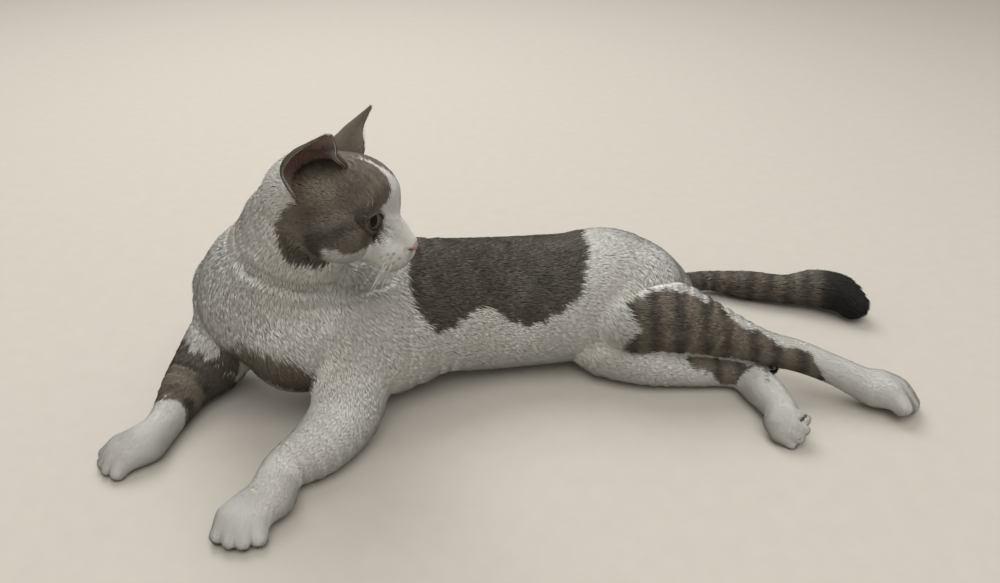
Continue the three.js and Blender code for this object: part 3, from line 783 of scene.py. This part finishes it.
def markings(p, far, parts):
    """Two values at each point: how far inside a marking it is, and how dark the tabby is."""
    q = to_head(p)
    x, y, z = p.T
    rough = 1.6 * ripple(p, 5, 41) + 1.1 * ripple(p, 2.6, 42)
    cloudy = ripple(p, 9, 43)
    d_head = far["head"]
    rough = np.where(d_head < 5, rough * np.interp(q[:, 0], [8, 22], [1, 0.35]), rough)
    # The saddle, on a chart of millimetres along the back by degrees round it.
    top = LIMBS["trunk"].starts[-1]
    s, angle = top - parts["trunk"][1], parts["trunk"][3]
    on_trunk = (far["trunk"] < 9) & (d_head > 4) & (far["neck"] > -30)
    saddle = loop_distance(s, angle * 0.9, [(a, b * 0.9) for a, b in SADDLE])
    saddle = np.where(on_trunk, saddle, 99)
    # The mask, in profile, less a white blaze that runs down the bridge.
    mask = loop_distance(q[:, 0], q[:, 2], MASK)
    mask = np.where((d_head < 5) | ((far["neck"] < 6) & (q[:, 2] < -20) & (q[:, 1] < 30)), mask, 99)
    low, high = (np.interp(q[:, 2], *edge) for edge in (BLAZE_RIGHT, BLAZE_LEFT))
    blaze = np.maximum(low - q[:, 1], q[:, 1] - high)
    blaze = np.where((q[:, 0] > 8) & (q[:, 2] < 42.5), blaze, 9)
    mask = np.maximum(mask, -blaze)
    nape = line_distance(q, NAPE) - 12
    behind = (q[:, 0] < -18) & (q[:, 1] > np.interp(q[:, 2], *NAPE_EDGE)) & (q[:, 2] > -24)
    nape = np.where(behind, nape, 99)
    # The left thigh and shin, the right hock, and the right foreleg.
    left_leg = np.minimum(far["hind_left"], far["hind_left_paw"])
    right_leg = np.minimum(far["hind_right"], far["hind_right_paw"])
    thigh = loop_distance(x, z, THIGH)
    thigh = np.where((y < 6) & ((left_leg < right_leg + 3) | (z > 52)) & (x > 90), thigh, 99)
    round_leg = parts["hind_left"][3]
    over = (np.where(round_leg > 150, round_leg - 360, round_leg) - np.interp(x, *SHIN_EDGE)) * 0.33
    thigh = np.where(x > 170, np.maximum(thigh, over), np.maximum(thigh, 0.8 * (y + 26)))
    hock = np.where((right_leg < left_leg) & (y < -24), np.maximum(loop_distance(x, z, HOCK), x - 226), 99)
    reach = parts["fore_right"][1]
    fore = np.minimum(far["fore_right"], far["fore_right_paw"])
    own = (fore < far["trunk"] + 6) & (fore < far["fore_left"])
    lean = reach + 0.5 * (z - 38)
    sleeve = np.where(own & (fore < 9), np.maximum(SLEEVE[0] - reach, lean - SLEEVE[1]), 99)
    sleeve = np.where(far["fore_right_paw"] < -2, 99, sleeve)
    near_leg = np.minimum(far["fore_left"], far["fore_left_paw"])
    breast_fur_and_shade = np.where((y < -62) & (y > -135) & (near_leg > 2) & (z < 110), loop_distance(x, z, BREAST_FUR_AND_SHADE), 99)
    tail_at = parts["tail"][1]
    tail = np.where((far["tail"] < 6) & (x > 160) & (y > 40), 26 - tail_at, 99)
    fades = [(saddle, 2.2), (mask, 2.0), (nape, 3), (thigh, 2.6), (hock, 2.4), (sleeve, 2.4), (breast_fur_and_shade, 10),
             (tail, 3)]
    patch = np.zeros(len(p))
    for d, soft in fades:
        patch = np.maximum(patch, step(-(d + rough * min(soft, 3) / 2.4), -soft, soft))
    # How dark the tabby is: stripes across the thigh, rings on foreleg and tail, a streak behind the eye.
    stripe = 0.8 + 0.14 * cloudy
    slant = x + 0.10 * (z - 60) + 1.6 * rough
    bands = sum(bump(slant - at, 5.0) for at in THIGH_BANDS)
    stripe = np.where(thigh < 6, 0.12 + 0.85 * bands + 0.12 * cloudy, stripe)
    hocks = sum(bump(x + 0.8 * rough - at, 5.0) for at in HOCK_BANDS) + 0.4 * (x > 210)
    stripe = np.where((hock < 6) & (thigh > 2), 0.05 + 0.85 * hocks, stripe)
    lean = lean + 0.8 * rough
    rings = bump(lean - UPPER_RING, 5) + bump(lean - LOWER_RING, 4.5)
    rings = np.where(lean < UPPER_RING - 3, np.maximum(rings, 0.66), rings)
    stripe = np.where(sleeve < 5, 0.02 + 0.95 * rings, stripe)
    # Under the chest the tabby darkens downwards: painted shade beneath the breast over its grey-brown fur.
    stripe = np.where((breast_fur_and_shade < 12) & (sleeve > 5), 0.1 + 0.35 * step(-z, -84, -58), stripe)
    tail_rings = 0.5 + 0.5 * np.cos((tail_at - 131 + 2 * rough) * math.tau / 19.5)
    black = step(x, 312, 334) * (tail < 5)
    stripe = np.where(tail < 5, 0.36 + 0.6 * tail_rings**1.5 + 0.5 * black, stripe)
    m = mirrored(q)
    streak, band = line_distance(m, EYE_STREAK), line_distance(m, CHEEK_BAND)
    on_head = (d_head < 5) & (mask < 5)
    face = 0.3 + 0.16 * cloudy + 0.62 * bump(streak, 5) + 0.45 * bump(band, 8)
    face += 0.25 * step(q[:, 2], 22, 34) * (0.5 + 0.5 * np.sin(q[:, 1] * 1.1))
    face -= 0.3 * bump(np.linalg.norm(q - [-6, -34, 18], axis=1), 15)
    tear = line_distance(m, TEAR) + 0.4 * rough
    patch = np.where(d_head < 5, np.maximum(patch, step(-tear, -1.9, -0.8)), patch)
    face = mix(face, 1.0, step(-tear, -2.2, -0.9))
    stripe = np.where(on_head | ((d_head < 5) & (tear < 2.2)), face, stripe)
    return patch, np.clip(stripe, 0, 1), black


WHITE, CREAM = linear("#eceae4"), linear("#dfdbd1")
TABBY, DARK, SOOT = linear("#8f8475"), linear("#49433c"), linear("#292624")
LEATHER, LINING, RIM = linear("#a98f88"), linear("#806a60"), linear("#332c27")
# The two pocket colours are darker than the ear's own skin by painted shade of the ear's deep pocket.
EAR_PIT_SHADED_BROWN, POCKET_RED_AND_SHADE, EAR_FRONT = linear("#5a4038"), linear("#6b433b"), linear("#8d827b")
NOSTRIL_SHADE, LID_EDGE, PAD, EAR_HAIR = linear("#4e3533"), linear("#b9ab9b"), linear("#4a3f3c"), linear("#c4b8ac")


def coat_colour(patch, stripe, black, warmth):
    white = mix(WHITE, CREAM, warmth[:, None])
    tabby = mix(TABBY, DARK, stripe[:, None])
    tabby = mix(tabby, SOOT, black[:, None])
    return mix(white, tabby, patch[:, None])


# %% Painted shade in folds, toe clefts and the lip line, and the dark whisker dots
DOTS = np.array([[44.7, -15.9], [48.1, -13], [51.5, -12.2], [47.1, -17.6], [50.6, -14.6], [55.8, -14.2],
                 [49.2, -20.9], [53.2, -17.5]])


def painted_shade_and_whisker_dots(p, q, m):
    """How much darker the coat is from painted shade in the throat fold, the toe clefts and along the lip
    line, and at its dark whisker roots, as a factor.
    """
    # Painted shade where shade falls: in the throat fold, in the clefts between the toes and along the lip
    # line.
    shade_and_dots = 1 - 0.3 * bump(np.maximum(line_distance(p, THROAT) - 5, 0), 3.5)
    cleft = sum(np.maximum(paw_distance(p, name, 1.3) - paw_distance(p, name, 9), 0) for name in PAWS)
    shade_and_dots *= 1 - 0.55 * step(cleft, 0.9, 2.3)
    shade_and_dots *= 1 - 0.45 * bump(line_distance(m, MOUTH), 1.3)
    # The whisker roots are dark dots of the coat's own colour.
    for at in DOTS:
        away = np.hypot(q[:, 0] - at[0], q[:, 2] - at[1])
        shade_and_dots *= 1 - 0.6 * bump(away, 0.9) * (m[:, 1] > 8)
    return shade_and_dots


# %% Work the markings out over the skin
mesh = skin.data
p, normal = points_of(mesh), normals_of(mesh)
n = len(p)
_, far, parts = survey(p)
depth, length, width = coat_sizes(p, far, parts)
lie = coat_lie(p, normal, far, parts)
for _ in range(24):  # hair never changes its lie abruptly
    lie = 0.4 * lie + 0.6 * neighbour_mean(mesh, lie)
lie = flattened(lie, normal)
patch, stripe, black = markings(p, far, parts)
q = to_head(p)
m = mirrored(q)
lids = [lid_gap(q, side) for side in (1, -1)]
first = q[:, 1] > 0
rim_gap, on_lower = (np.where(first, lids[0][k], lids[1][k]) for k in (0, 2))
rim_gap[np.linalg.norm(m - EYE_AT, axis=1) > 24] = 99
leather = ((m[:, 1] / 5.8) ** 2 + ((q[:, 2] + 9) / 4.6) ** 2 < 1) & (q[:, 0] > 56)
bare = leather | (rim_gap < 0.5) | (line_distance(p, PADS[:2]) < 3) | (line_distance(p, PADS[2:]) < 2.8)
# At the foot of each ear the head is painted dark brown: the ear's brown skin and painted shade of its deep
# pocket.
ear_pit_shade = 0.9 * bump(line_distance(m, POCKET), 4.5)
ear_lining, ear_up, ear_round = np.zeros(n, bool), np.zeros(n), np.zeros(n)
start = body_count
for name, lining, angle, v_up in ear_data:
    rows = slice(start, start + len(angle))
    up, _, fore = ear_axes(name)
    sweep = step(np.sin(angle), 0.3, 0.9) * step(-v_up, -0.75, -0.4) if lining else 0 * angle
    way = up - fore * (1.1 * sweep)[:, None]
    lie[rows] = flattened(way @ HEAD_TURN.T, normal[rows])
    ear_lining[rows], ear_up[rows], ear_round[rows] = lining, v_up, np.degrees(angle)
    depth[rows], length[rows], width[rows] = 0.6 + 1.2 * sweep, 2.8 + 5.5 * sweep, 0.3
    patch[rows], stripe[rows], black[rows] = 1, 0.5 + 0.1 * np.sin(angle * 3), 0
    start += len(angle)
on_ear = np.arange(n) >= body_count
warmth = np.clip(0.3 + 0.35 * ripple(p, 30, 51), 0, 1)
# The painted shade of the throat fold, toe clefts and lip line, and the whisker dots, darken the colours.
shade_and_dots = painted_shade_and_whisker_dots(p, q, m)
colour = coat_colour(patch, stripe, black, warmth) * shade_and_dots[:, None]
colour[leather] = LEATHER
colour = mix(colour, EAR_PIT_SHADED_BROWN, ear_pit_shade[:, None])
# Painted shade in the nostril openings, along the slit of each.
slit = line_distance(m, [[60.5, 3, -10], [58.3, 7.8, -9.8]])
colour = mix(colour, NOSTRIL_SHADE, (0.9 * bump(slit, 1.1))[:, None])
pale = bump(rim_gap - 1.5, 0.9) * mix(0.2, 0.6, step(-on_lower, -1, 2))
colour = mix(colour, LID_EDGE, pale[:, None])
edge = step(rim_gap, 0.15, 0.8)
colour = np.where((rim_gap < 0.8)[:, None], mix(RIM, colour, edge[:, None]), colour)
colour[bare & (p[:, 0] > 150)] = PAD
# The lining is brown and thin-haired at the top, redder and darker in the pocket, where the red is its own
# and the darkness is painted shade of its depth, and furred and pale in front.
pocket_red_and_shade = bump(ear_round + 25, 40) * step(-ear_up, -0.75, -0.3)
inner = mix(LINING, POCKET_RED_AND_SHADE, 0.8 * pocket_red_and_shade[:, None])
inner = mix(inner, EAR_FRONT, step(ear_round, 25, 70)[:, None] * 0.7)
white_edge = step(ear_round, 80, 88) * step(ear_up, 0.3, 0.5) + 0.4 * step(-ear_round, 82, 90)
inner = mix(inner, WHITE, np.clip(white_edge, 0, 0.8)[:, None])
colour[ear_lining] = inner[ear_lining]
print("marked share of the skin:", round(float(patch.mean()), 3), "bare points:", int(bare.sum()))


# %% Unwrap the skin
bpy.context.view_layer.objects.active = skin
skin.select_set(True)
bpy.ops.object.mode_set(mode="EDIT")
bpy.ops.mesh.select_all(action="SELECT")
bpy.ops.uv.smart_project(angle_limit=math.radians(66), island_margin=0.002)
bpy.ops.object.mode_set(mode="OBJECT")
mesh = skin.data
mesh.uv_layers[0].name = "OFBake"
store(mesh, "coat", "FLOAT_COLOR", np.column_stack([colour, np.ones(n)]))
smooth_faces(mesh)
print("unwrapped:", [layer.name for layer in mesh.uv_layers])

# %% [markdown]
# ## Materials
# Fur is made of keratin hairs, which are glossy one by one and soft in a mass. The tufts carry their colour
# as an attribute from the same function that coloured the skin, with painted shade at the root and painted
# light at the tip.


# %% Materials
def add_node(tree, kind, settings=None, **links):
    """Adds a shader node, sets its sockets and properties, and links other sockets to its inputs."""
    node = tree.nodes.new(kind)
    for key, value in (settings or {}).items():
        if hasattr(node, key):
            setattr(node, key, value)
        else:
            node.inputs[key].default_value = value
    for key, source in links.items():
        tree.links.new(source, node.inputs[key.replace("_", " ")])
    return node


def new_material(name):
    material = bpy.data.materials.new(name)
    material.use_nodes = True
    material.node_tree.nodes.clear()
    return material, material.node_tree


def finish_material(tree, settings, **links):
    """Ends a material in one surface shader that has these settings and links."""
    shader = add_node(tree, "ShaderNodeBsdfPrincipled", settings, **links)
    add_node(tree, "ShaderNodeOutputMaterial", Surface=shader.outputs["BSDF"])


def opaque(code):
    return (*linear(code), 1)


# Short underfur on skin: the same colours as the tufts, with a fine noise for the mat of down.
skin_fur, tree = new_material("short fur over skin")
coords = add_node(tree, "ShaderNodeTexCoord")
dye = add_node(tree, "ShaderNodeAttribute", {"attribute_name": "coat"})
down = add_node(tree, "ShaderNodeTexNoise", {"Scale": 900.0, "Detail": 3.0}, Vector=coords.outputs["Object"])
shade = add_node(tree, "ShaderNodeMapRange", {"To Min": 0.8, "To Max": 1.02}, Value=down.outputs["Fac"])
tinted = add_node(tree, "ShaderNodeVectorMath", {"operation": "SCALE"}, Vector=dye.outputs["Color"],
                  Scale=shade.outputs["Result"])
relief = add_node(tree, "ShaderNodeBump", {"Strength": 0.35, "Distance": 0.0005}, Height=down.outputs["Fac"])
finish_material(tree, {"Roughness": 0.8, "Specular IOR Level": 0.25}, Base_Color=tinted.outputs["Vector"],
                Normal=relief.outputs["Normal"])
skin.data.materials.append(skin_fur)

# Cat hair, in tufts. Each is shaded mostly by the skin's own normal, so that the coat reads as a smooth
# whole. A Mix node's sockets have the same names for each kind of value, so they are given by number.
hair, tree = new_material("cat hair in tufts")
dye = add_node(tree, "ShaderNodeAttribute", {"attribute_name": "coat"})
smooth = add_node(tree, "ShaderNodeAttribute", {"attribute_name": "lie_normal"})
shape = add_node(tree, "ShaderNodeNewGeometry")
facing = add_node(tree, "ShaderNodeMix", {"data_type": "VECTOR"})
facing.inputs[0].default_value = 0.92
tree.links.new(shape.outputs["Normal"], facing.inputs[4])
tree.links.new(smooth.outputs["Vector"], facing.inputs[5])
even = add_node(tree, "ShaderNodeVectorMath", {"operation": "NORMALIZE"}, Vector=facing.outputs[1])
finish_material(tree, {"Roughness": 0.62, "Specular IOR Level": 0.3}, Base_Color=dye.outputs["Color"],
                Normal=even.outputs["Vector"])
print("materials:", [material.name for material in (skin_fur, hair)])

# %% [markdown]
# ## Eyes
# A cat's eye is a ball with a clear bulging front. The iris is green-brown with a dark upright pupil.

# %% Eyes
GAZE = {"ahead": 0.62, "aside": 0.72, "up": 0.31}
eye_material, tree = new_material("wet eye")
look = add_node(tree, "ShaderNodeAttribute", {"attribute_name": "gaze"})


def from_centre(wide, high):
    """How far a point of the eye is from the middle of its gaze, when that is stretched wide and high."""
    stretch = add_node(tree, "ShaderNodeVectorMath", {"operation": "MULTIPLY"}, Vector=look.outputs["Vector"])
    stretch.inputs[1].default_value = (wide, high, 0.0)
    length = add_node(tree, "ShaderNodeVectorMath", {"operation": "LENGTH"}, Vector=stretch.outputs["Vector"])
    return length.outputs["Value"]


fibres = add_node(tree, "ShaderNodeTexNoise", {"Scale": 7.0, "Detail": 4.0}, Vector=look.outputs["Vector"])
iris = add_node(tree, "ShaderNodeValToRGB", Fac=from_centre(1.0, 1.0))
for stop, place, code in zip(iris.color_ramp.elements, (0.30, 0.86), ("#5c5439", "#2a2418")):
    stop.position, stop.color = place, opaque(code)
flecked = add_node(tree, "ShaderNodeVectorMath", {"operation": "SCALE"}, Vector=iris.outputs["Color"])
fleck = add_node(tree, "ShaderNodeMapRange", {"To Min": 0.6, "To Max": 1.4}, Value=fibres.outputs["Fac"])
tree.links.new(fleck.outputs["Result"], flecked.inputs["Scale"])
pupil = from_centre(1.7, 0.92)
slit = add_node(tree, "ShaderNodeMapRange", {"From Min": 0.56, "From Max": 0.62}, Value=pupil)
with_pupil = add_node(tree, "ShaderNodeMix", {"data_type": "RGBA"})
with_pupil.inputs[6].default_value = opaque("#060504")
tree.links.new(slit.outputs["Result"], with_pupil.inputs[0])
tree.links.new(flecked.outputs["Vector"], with_pupil.inputs[7])
WET = {"Roughness": 0.4, "Specular IOR Level": 0.08, "Coat Weight": 0.5, "Coat IOR": 1.28,
       "Coat Roughness": 0.03}
finish_material(tree, WET, Base_Color=with_pupil.outputs[2])
eyes = []
for name, side in (("left", 1), ("right", -1)):
    bm = bmesh.new()
    bmesh.ops.create_uvsphere(bm, u_segments=48, v_segments=32, radius=EYE_RADIUS)
    gaze = unit(np.array([GAZE["ahead"], side * GAZE["aside"], GAZE["up"]]))
    g_up = unit(np.array([0, 0, 1]) - gaze * gaze[2])
    g_side = np.cross(g_up, gaze)
    ball = np.array([v.co for v in bm.verts])
    ahead = unit(ball) @ gaze
    bulge = 1 + 0.06 * step(ahead, 0.72, 1.0)
    seen = np.column_stack([unit(ball) @ g_side, unit(ball) @ g_up, ahead]) * [1.35, 1.35, 1]
    world = from_head(ball * bulge[:, None] + EYE_AT * [1, side, 1]) * MM
    for v, co in zip(bm.verts, world):
        v.co = Vector(co)
    eye_mesh = mesh_from(bm, "eye " + name)
    store(eye_mesh, "gaze", "FLOAT_VECTOR", seen)
    smooth_faces(eye_mesh)
    eyes.append((add_object("eyeball_" + name, eye_mesh, eye_material), "eye_" + name))
print("eyes:", [eye.name for eye, _ in eyes])

# %% [markdown]
# ## The coat
# Each tuft is a slim closed blade of four faces, thin at the root and at the tip, that rises from the skin
# and then lies down along the body. Its root is a point picked at random on the skin, and everything else
# about it is read off the skin there.


# %% Tufts
mesh.calc_loop_triangles()
corners = read_out(mesh.loop_triangles, "vertices", 3)
loops = read_out(mesh.loop_triangles, "loops", 3)
uv = read_out(mesh.uv_layers[0].data, "uv", 2, np.float32)
p, normal = points_of(mesh), normals_of(mesh)
a, b, c = (p[corners[:, k]] for k in range(3))
area = np.linalg.norm(np.cross(b - a, c - a), axis=1) / 2
print("skin area in square metres:", round(area.sum() * 1e-6, 4))

COVER = {"body": 3.0, "limb": 2.6, "lining": 0.5, "furnishing": 1.1, "ear back": 1.6}
MOST_TUFTS = 350000
# How far a tuft strays from the lie, how its length, width and depth vary, and where it is widest.
TUFT = {"stray": 0.13, "long": (0.75, 1.2), "wide": (0.8, 1.2), "deep": (0.8, 1.0), "widest": (0.42, 0.62),
        "root": 0.25}
share = shares(far, PARTS, 5)
limb_share = sum(share[:, i] for i, name in enumerate(PARTS) if name.startswith(("fore", "hind")))
cover = mix(COVER["body"], COVER["limb"], limb_share)
cover[on_ear] = COVER["ear back"]
cover[ear_lining] = mix(COVER["lining"], COVER["furnishing"], step(length, 3, 6))[ear_lining]
cover[bare] = 0
density = cover / (length * width / 2)
weight = area * density[corners].mean(1)
wanted = int(min(weight.sum(), MOST_TUFTS))
print("tufts called for:", int(weight.sum()), "made:", wanted)
running = np.cumsum(weight) / weight.sum()
pick = np.searchsorted(running, (np.arange(wanted) + chance.random(wanted)) / wanted)
pick = np.minimum(pick, len(corners) - 1)
u, v = chance.random(wanted), chance.random(wanted)
u, v = np.where(u + v > 1, 1 - u, u), np.where(u + v > 1, 1 - v, v)
blend = np.column_stack([1 - u - v, u, v])


def read(values, index=corners):
    picked = values[index[pick]]
    return (picked * blend.reshape(blend.shape + (1,) * (picked.ndim - 2))).sum(1)


root, out = read(p), unit(read(normal))
way = flattened(read(lie), out)
across = np.cross(out, way)
stray = chance.normal(0, TUFT["stray"], wanted) + TUFT["stray"] * ripple(root, 9, 61)
way = unit(way * np.cos(stray)[:, None] + across * np.sin(stray)[:, None])
across = np.cross(out, way)
size = chance.uniform(*TUFT["long"], wanted)
long = read(length) * size
wide = read(width) * chance.uniform(*TUFT["wide"], wanted)
deep = read(depth) * chance.uniform(*TUFT["deep"], wanted)
# Near the floor the hair is pressed flat under the body's weight.
squeeze = step(root[:, 2], 1, 14)
deep = deep * mix(0.3, 1, squeeze)
fuzzy = read(patch) + chance.uniform(-0.3, 0.3, wanted)
darkness = np.clip(read(stripe) + chance.normal(0, 0.13, wanted), 0, 1)
tone = coat_colour(step(fuzzy, 0.4, 0.6), darkness, read(black), read(warmth))
in_ear = read(ear_lining.astype(float)) > 0.5
tone[in_ear] = mix(read(colour)[in_ear], EAR_HAIR, 0.35)
# The tufts there take the same brown and painted shade of the ear's pocket.
tone = mix(tone, EAR_PIT_SHADED_BROWN, read(ear_pit_shade)[:, None])
root_q = to_head(root)
# The painted shade of the throat fold, toe clefts and lip line, and the whisker dots, at each tuft's root.
root_shade_and_dots = painted_shade_and_whisker_dots(root, root_q, mirrored(root_q))
vary = mix(0.03, 0.09, read(patch))
tone = tone * (root_shade_and_dots * (1 + vary * chance.uniform(-1, 1, wanted)))[:, None]
near_eye = read(np.minimum(rim_gap, 9))
tone = tone * mix(0.8, 1, step(near_eye, 0.4, 1.5))[:, None]
root_uv = read(uv, loops)
print("mean tuft in mm:", [round(float(v.mean()), 2) for v in (long, wide, deep)])

# %% Build the tuft meshes
out_along, out_up = TUFT["widest"]
middle = root + way * (long * out_along)[:, None] + out * (deep * out_up)[:, None]
tip = root + way * long[:, None] + out * deep[:, None]
base = root - out * TUFT["root"]
spread = across * (wide * 0.5)[:, None]
tuft = np.stack([base, middle - spread, middle + spread, tip], 1)
tuft[:, :, 2] = np.maximum(tuft[:, :, 2], 0.25 + 0.3 * chance.random((wanted, 1)))
FACES = np.array([[0, 2, 1], [3, 1, 2], [0, 1, 3], [0, 3, 2]])
UV_SPOTS = np.array([[0, -0.0015], [-0.0013, 0], [0.0013, 0], [0, 0.0015]])  # a patch 0.003 across
# Painted shade at each tuft's root and painted light at its tip, as factors by corner.
PAINTED_ROOT_SHADE_TIP_LIGHT = np.array([0.92, 0.98, 0.98, 1.03])  # root, the two sides, tip
order = np.argsort(running[pick])
PIECES = 8
coats = []
for k, rows in enumerate(np.array_split(order, PIECES)):
    count = len(rows)
    coat_mesh = bpy.data.meshes.new(f"coat_{k + 1}")
    coat_mesh.vertices.add(count * 4)
    coat_mesh.vertices.foreach_set("co", (tuft[rows] * MM).astype(np.float32).ravel())
    index = (FACES[None] + (np.arange(count) * 4)[:, None, None]).reshape(-1)
    coat_mesh.loops.add(len(index))
    coat_mesh.loops.foreach_set("vertex_index", index.astype(np.int32))
    coat_mesh.polygons.add(count * 4)
    coat_mesh.polygons.foreach_set("loop_start", np.arange(0, len(index), 3, dtype=np.int32))
    coat_mesh.polygons.foreach_set("use_smooth", np.ones(count * 4, bool))
    coat_mesh.update(calc_edges=True)
    tints = np.clip(tone[rows][:, None, :] * PAINTED_ROOT_SHADE_TIP_LIGHT[None, :, None], 0, 1)
    tints = np.concatenate([tints, np.ones((count, 4, 1))], 2)
    store(coat_mesh, "coat", "FLOAT_COLOR", tints)
    store(coat_mesh, "lie_normal", "FLOAT_VECTOR", np.repeat(out[rows][:, None, :], 4, 1))
    spots = (root_uv[rows][:, None, :] + UV_SPOTS[None])[:, FACES.reshape(-1)]
    coat_mesh.uv_layers.new(name="OFBake").data.foreach_set("uv", spots.astype(np.float32).ravel())
    coats.append(add_object(f"coat_{k + 1}", coat_mesh, hair))
print("coat triangles:", wanted * 4)

# %% [markdown]
# ## Whiskers
# Stiff white hairs grow in rows from the whisker pads and a few from above the eyes. Each is a thin tapered
# tube with a droop, rooted a little under the skin.

# %% Whiskers
WHISKER = {"long": 34, "thick": 0.24, "sides": 5, "steps": 9}
BROWS = [[27, 18.5], [30, 20]]


def whisker(bm, start, way, droop, length):
    """Adds one tapered tube that leaves the skin along way and bends towards droop."""
    rings = []
    for i in range(WHISKER["steps"]):
        t = i / (WHISKER["steps"] - 1)
        centre = start + way * (length * t) + droop * (length * 0.3 * t * t)
        heading = unit(way + droop * (0.6 * t))
        side = unit(np.cross(heading, [0.3, 0.2, 1.0]))
        over = np.cross(side, heading)
        thin = WHISKER["thick"] * (1 - 0.85 * t) / 2
        turns = [math.tau * k / WHISKER["sides"] for k in range(WHISKER["sides"])]
        places = [centre + thin * (side * math.cos(a) + over * math.sin(a)) for a in turns]
        rings.append([bm.verts.new(place * MM) for place in places])
    for low, high in zip(rings, rings[1:]):
        for k in range(WHISKER["sides"]):
            j = (k + 1) % WHISKER["sides"]
            bm.faces.new([low[k], low[j], high[j], high[k]])
    bm.faces.new(rings[0][::-1])
    bm.faces.new(rings[-1])


face_points = p[:body_count]
face_local = to_head(face_points)
bm = bmesh.new()
for side in (1, -1):
    for i, (ahead, height) in enumerate(list(DOTS) + BROWS):
        brow = height > 0
        own = (face_local[:, 1] * side > (6 if brow else 8)) & (face_local[:, 0] > 15)
        miss = np.hypot(face_local[:, 0] - ahead, face_local[:, 2] - height) + np.where(own, 0, 99)
        at = face_points[np.argmin(miss)]
        for _ in range(1 if brow else 2):
            swing = chance.uniform(-0.34, 0.34, 3)
            way = [0.15, 0.45 * side, 0.9] if brow else [-0.1 * (i % 4), 0.45 * side, -0.8]
            way = unit(np.array(way) + swing) @ HEAD_TURN.T
            droop = [-0.6, 0.3 * side, -0.2] if brow else [-0.25, -0.3 * side, -1.2]
            droop = np.array(droop) @ HEAD_TURN.T
            long_one = WHISKER["long"] * (0.34 if brow else chance.uniform(0.6, 1.0))
            whisker(bm, at - way * 0.8, way, droop, long_one)
bmesh.ops.recalc_face_normals(bm, faces=bm.faces[:])
stiff, tree = new_material("white whisker hair")  # stiff glossy keratin
finish_material(tree, {"Base Color": opaque("#f0ece4"), "Roughness": 0.35, "Specular IOR Level": 0.5})
whisker_mesh = mesh_from(bm, "whiskers")
smooth_faces(whisker_mesh)
whiskers = add_object("whiskers", whisker_mesh, stiff)
print("whiskers:", len(whisker_mesh.polygons), "faces")

# %% [markdown]
# ## Pieces, stage, light and camera

# %% Hand the pieces to the frame
flesh = [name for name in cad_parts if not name.startswith("eye_")]
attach(skin, "root")
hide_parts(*flesh)
for coat in coats:
    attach(coat, "root")
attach(whiskers, "root")
for eye, node in eyes:
    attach(eye, "root")
    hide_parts(node)

# %% Stage
bm = bmesh.new()
bmesh.ops.create_grid(bm, x_segments=2, y_segments=2, size=6)
paper, tree = new_material("matt backdrop paper")
coords = add_node(tree, "ShaderNodeTexCoord")
grain = add_node(tree, "ShaderNodeTexNoise", {"Scale": 60.0, "Detail": 4.0}, Vector=coords.outputs["Object"])
tone_of = add_node(tree, "ShaderNodeValToRGB", Fac=grain.outputs["Fac"])
tone_of.color_ramp.elements[0].color = opaque("#b3ada4")
tone_of.color_ramp.elements[1].color = opaque("#bab4ab")
finish_material(tree, {"Roughness": 0.9, "Specular IOR Level": 0.1}, Base_Color=tone_of.outputs["Color"])
floor = add_object("floor", mesh_from(bm, "floor"), paper)

world = bpy.data.worlds.new("soft room light")
scene.world = world
world.use_nodes = True
sky = world.node_tree.nodes["Background"].inputs
sky["Color"].default_value, sky["Strength"].default_value = opaque("#efece6"), 0.68


def area_light(name, at, towards, size, power):
    data = bpy.data.lights.new(name, "AREA")
    data.shape, data.size, data.energy = "DISK", size, power
    light = add_object(name, data)
    light.location = at
    light.rotation_euler = (Vector(towards) - Vector(at)).to_track_quat("-Z", "Y").to_euler()


area_light("window", (-0.5, 1.2, 1.9), (0, 0, 0.1), 1.6, 35)
area_light("ceiling", (0.2, -0.9, 2.3), (0, 0, 0), 2.2, 29)
print("lights:", [light.name for light in bpy.data.lights])

# %% Camera
camera_data = bpy.data.cameras.new("camera")
camera_data.lens, camera_data.sensor_width = 28.8, 36
camera = add_object("camera", camera_data)
CAMERA_AT = (-0.008, -0.624, 0.450)
pitch, roll = math.radians(31.04), math.atan(0.02)  # below level, and tipped to the right
forward = np.array([0, math.cos(pitch), -math.sin(pitch)])
right, down = np.array([1.0, 0, 0]), np.cross(forward, [1, 0, 0])
rolled_right = right * math.cos(roll) - down * math.sin(roll)
rolled_down = right * math.sin(roll) + down * math.cos(roll)
turn = Matrix(np.column_stack([rolled_right, -rolled_down, -forward]).tolist())
camera.matrix_world = Matrix.Translation(CAMERA_AT) @ turn.to_4x4()
scene.camera = camera
print("camera at:", CAMERA_AT, "lens in mm:", round(camera_data.lens, 1))
scene.view_settings.view_transform = "Standard"
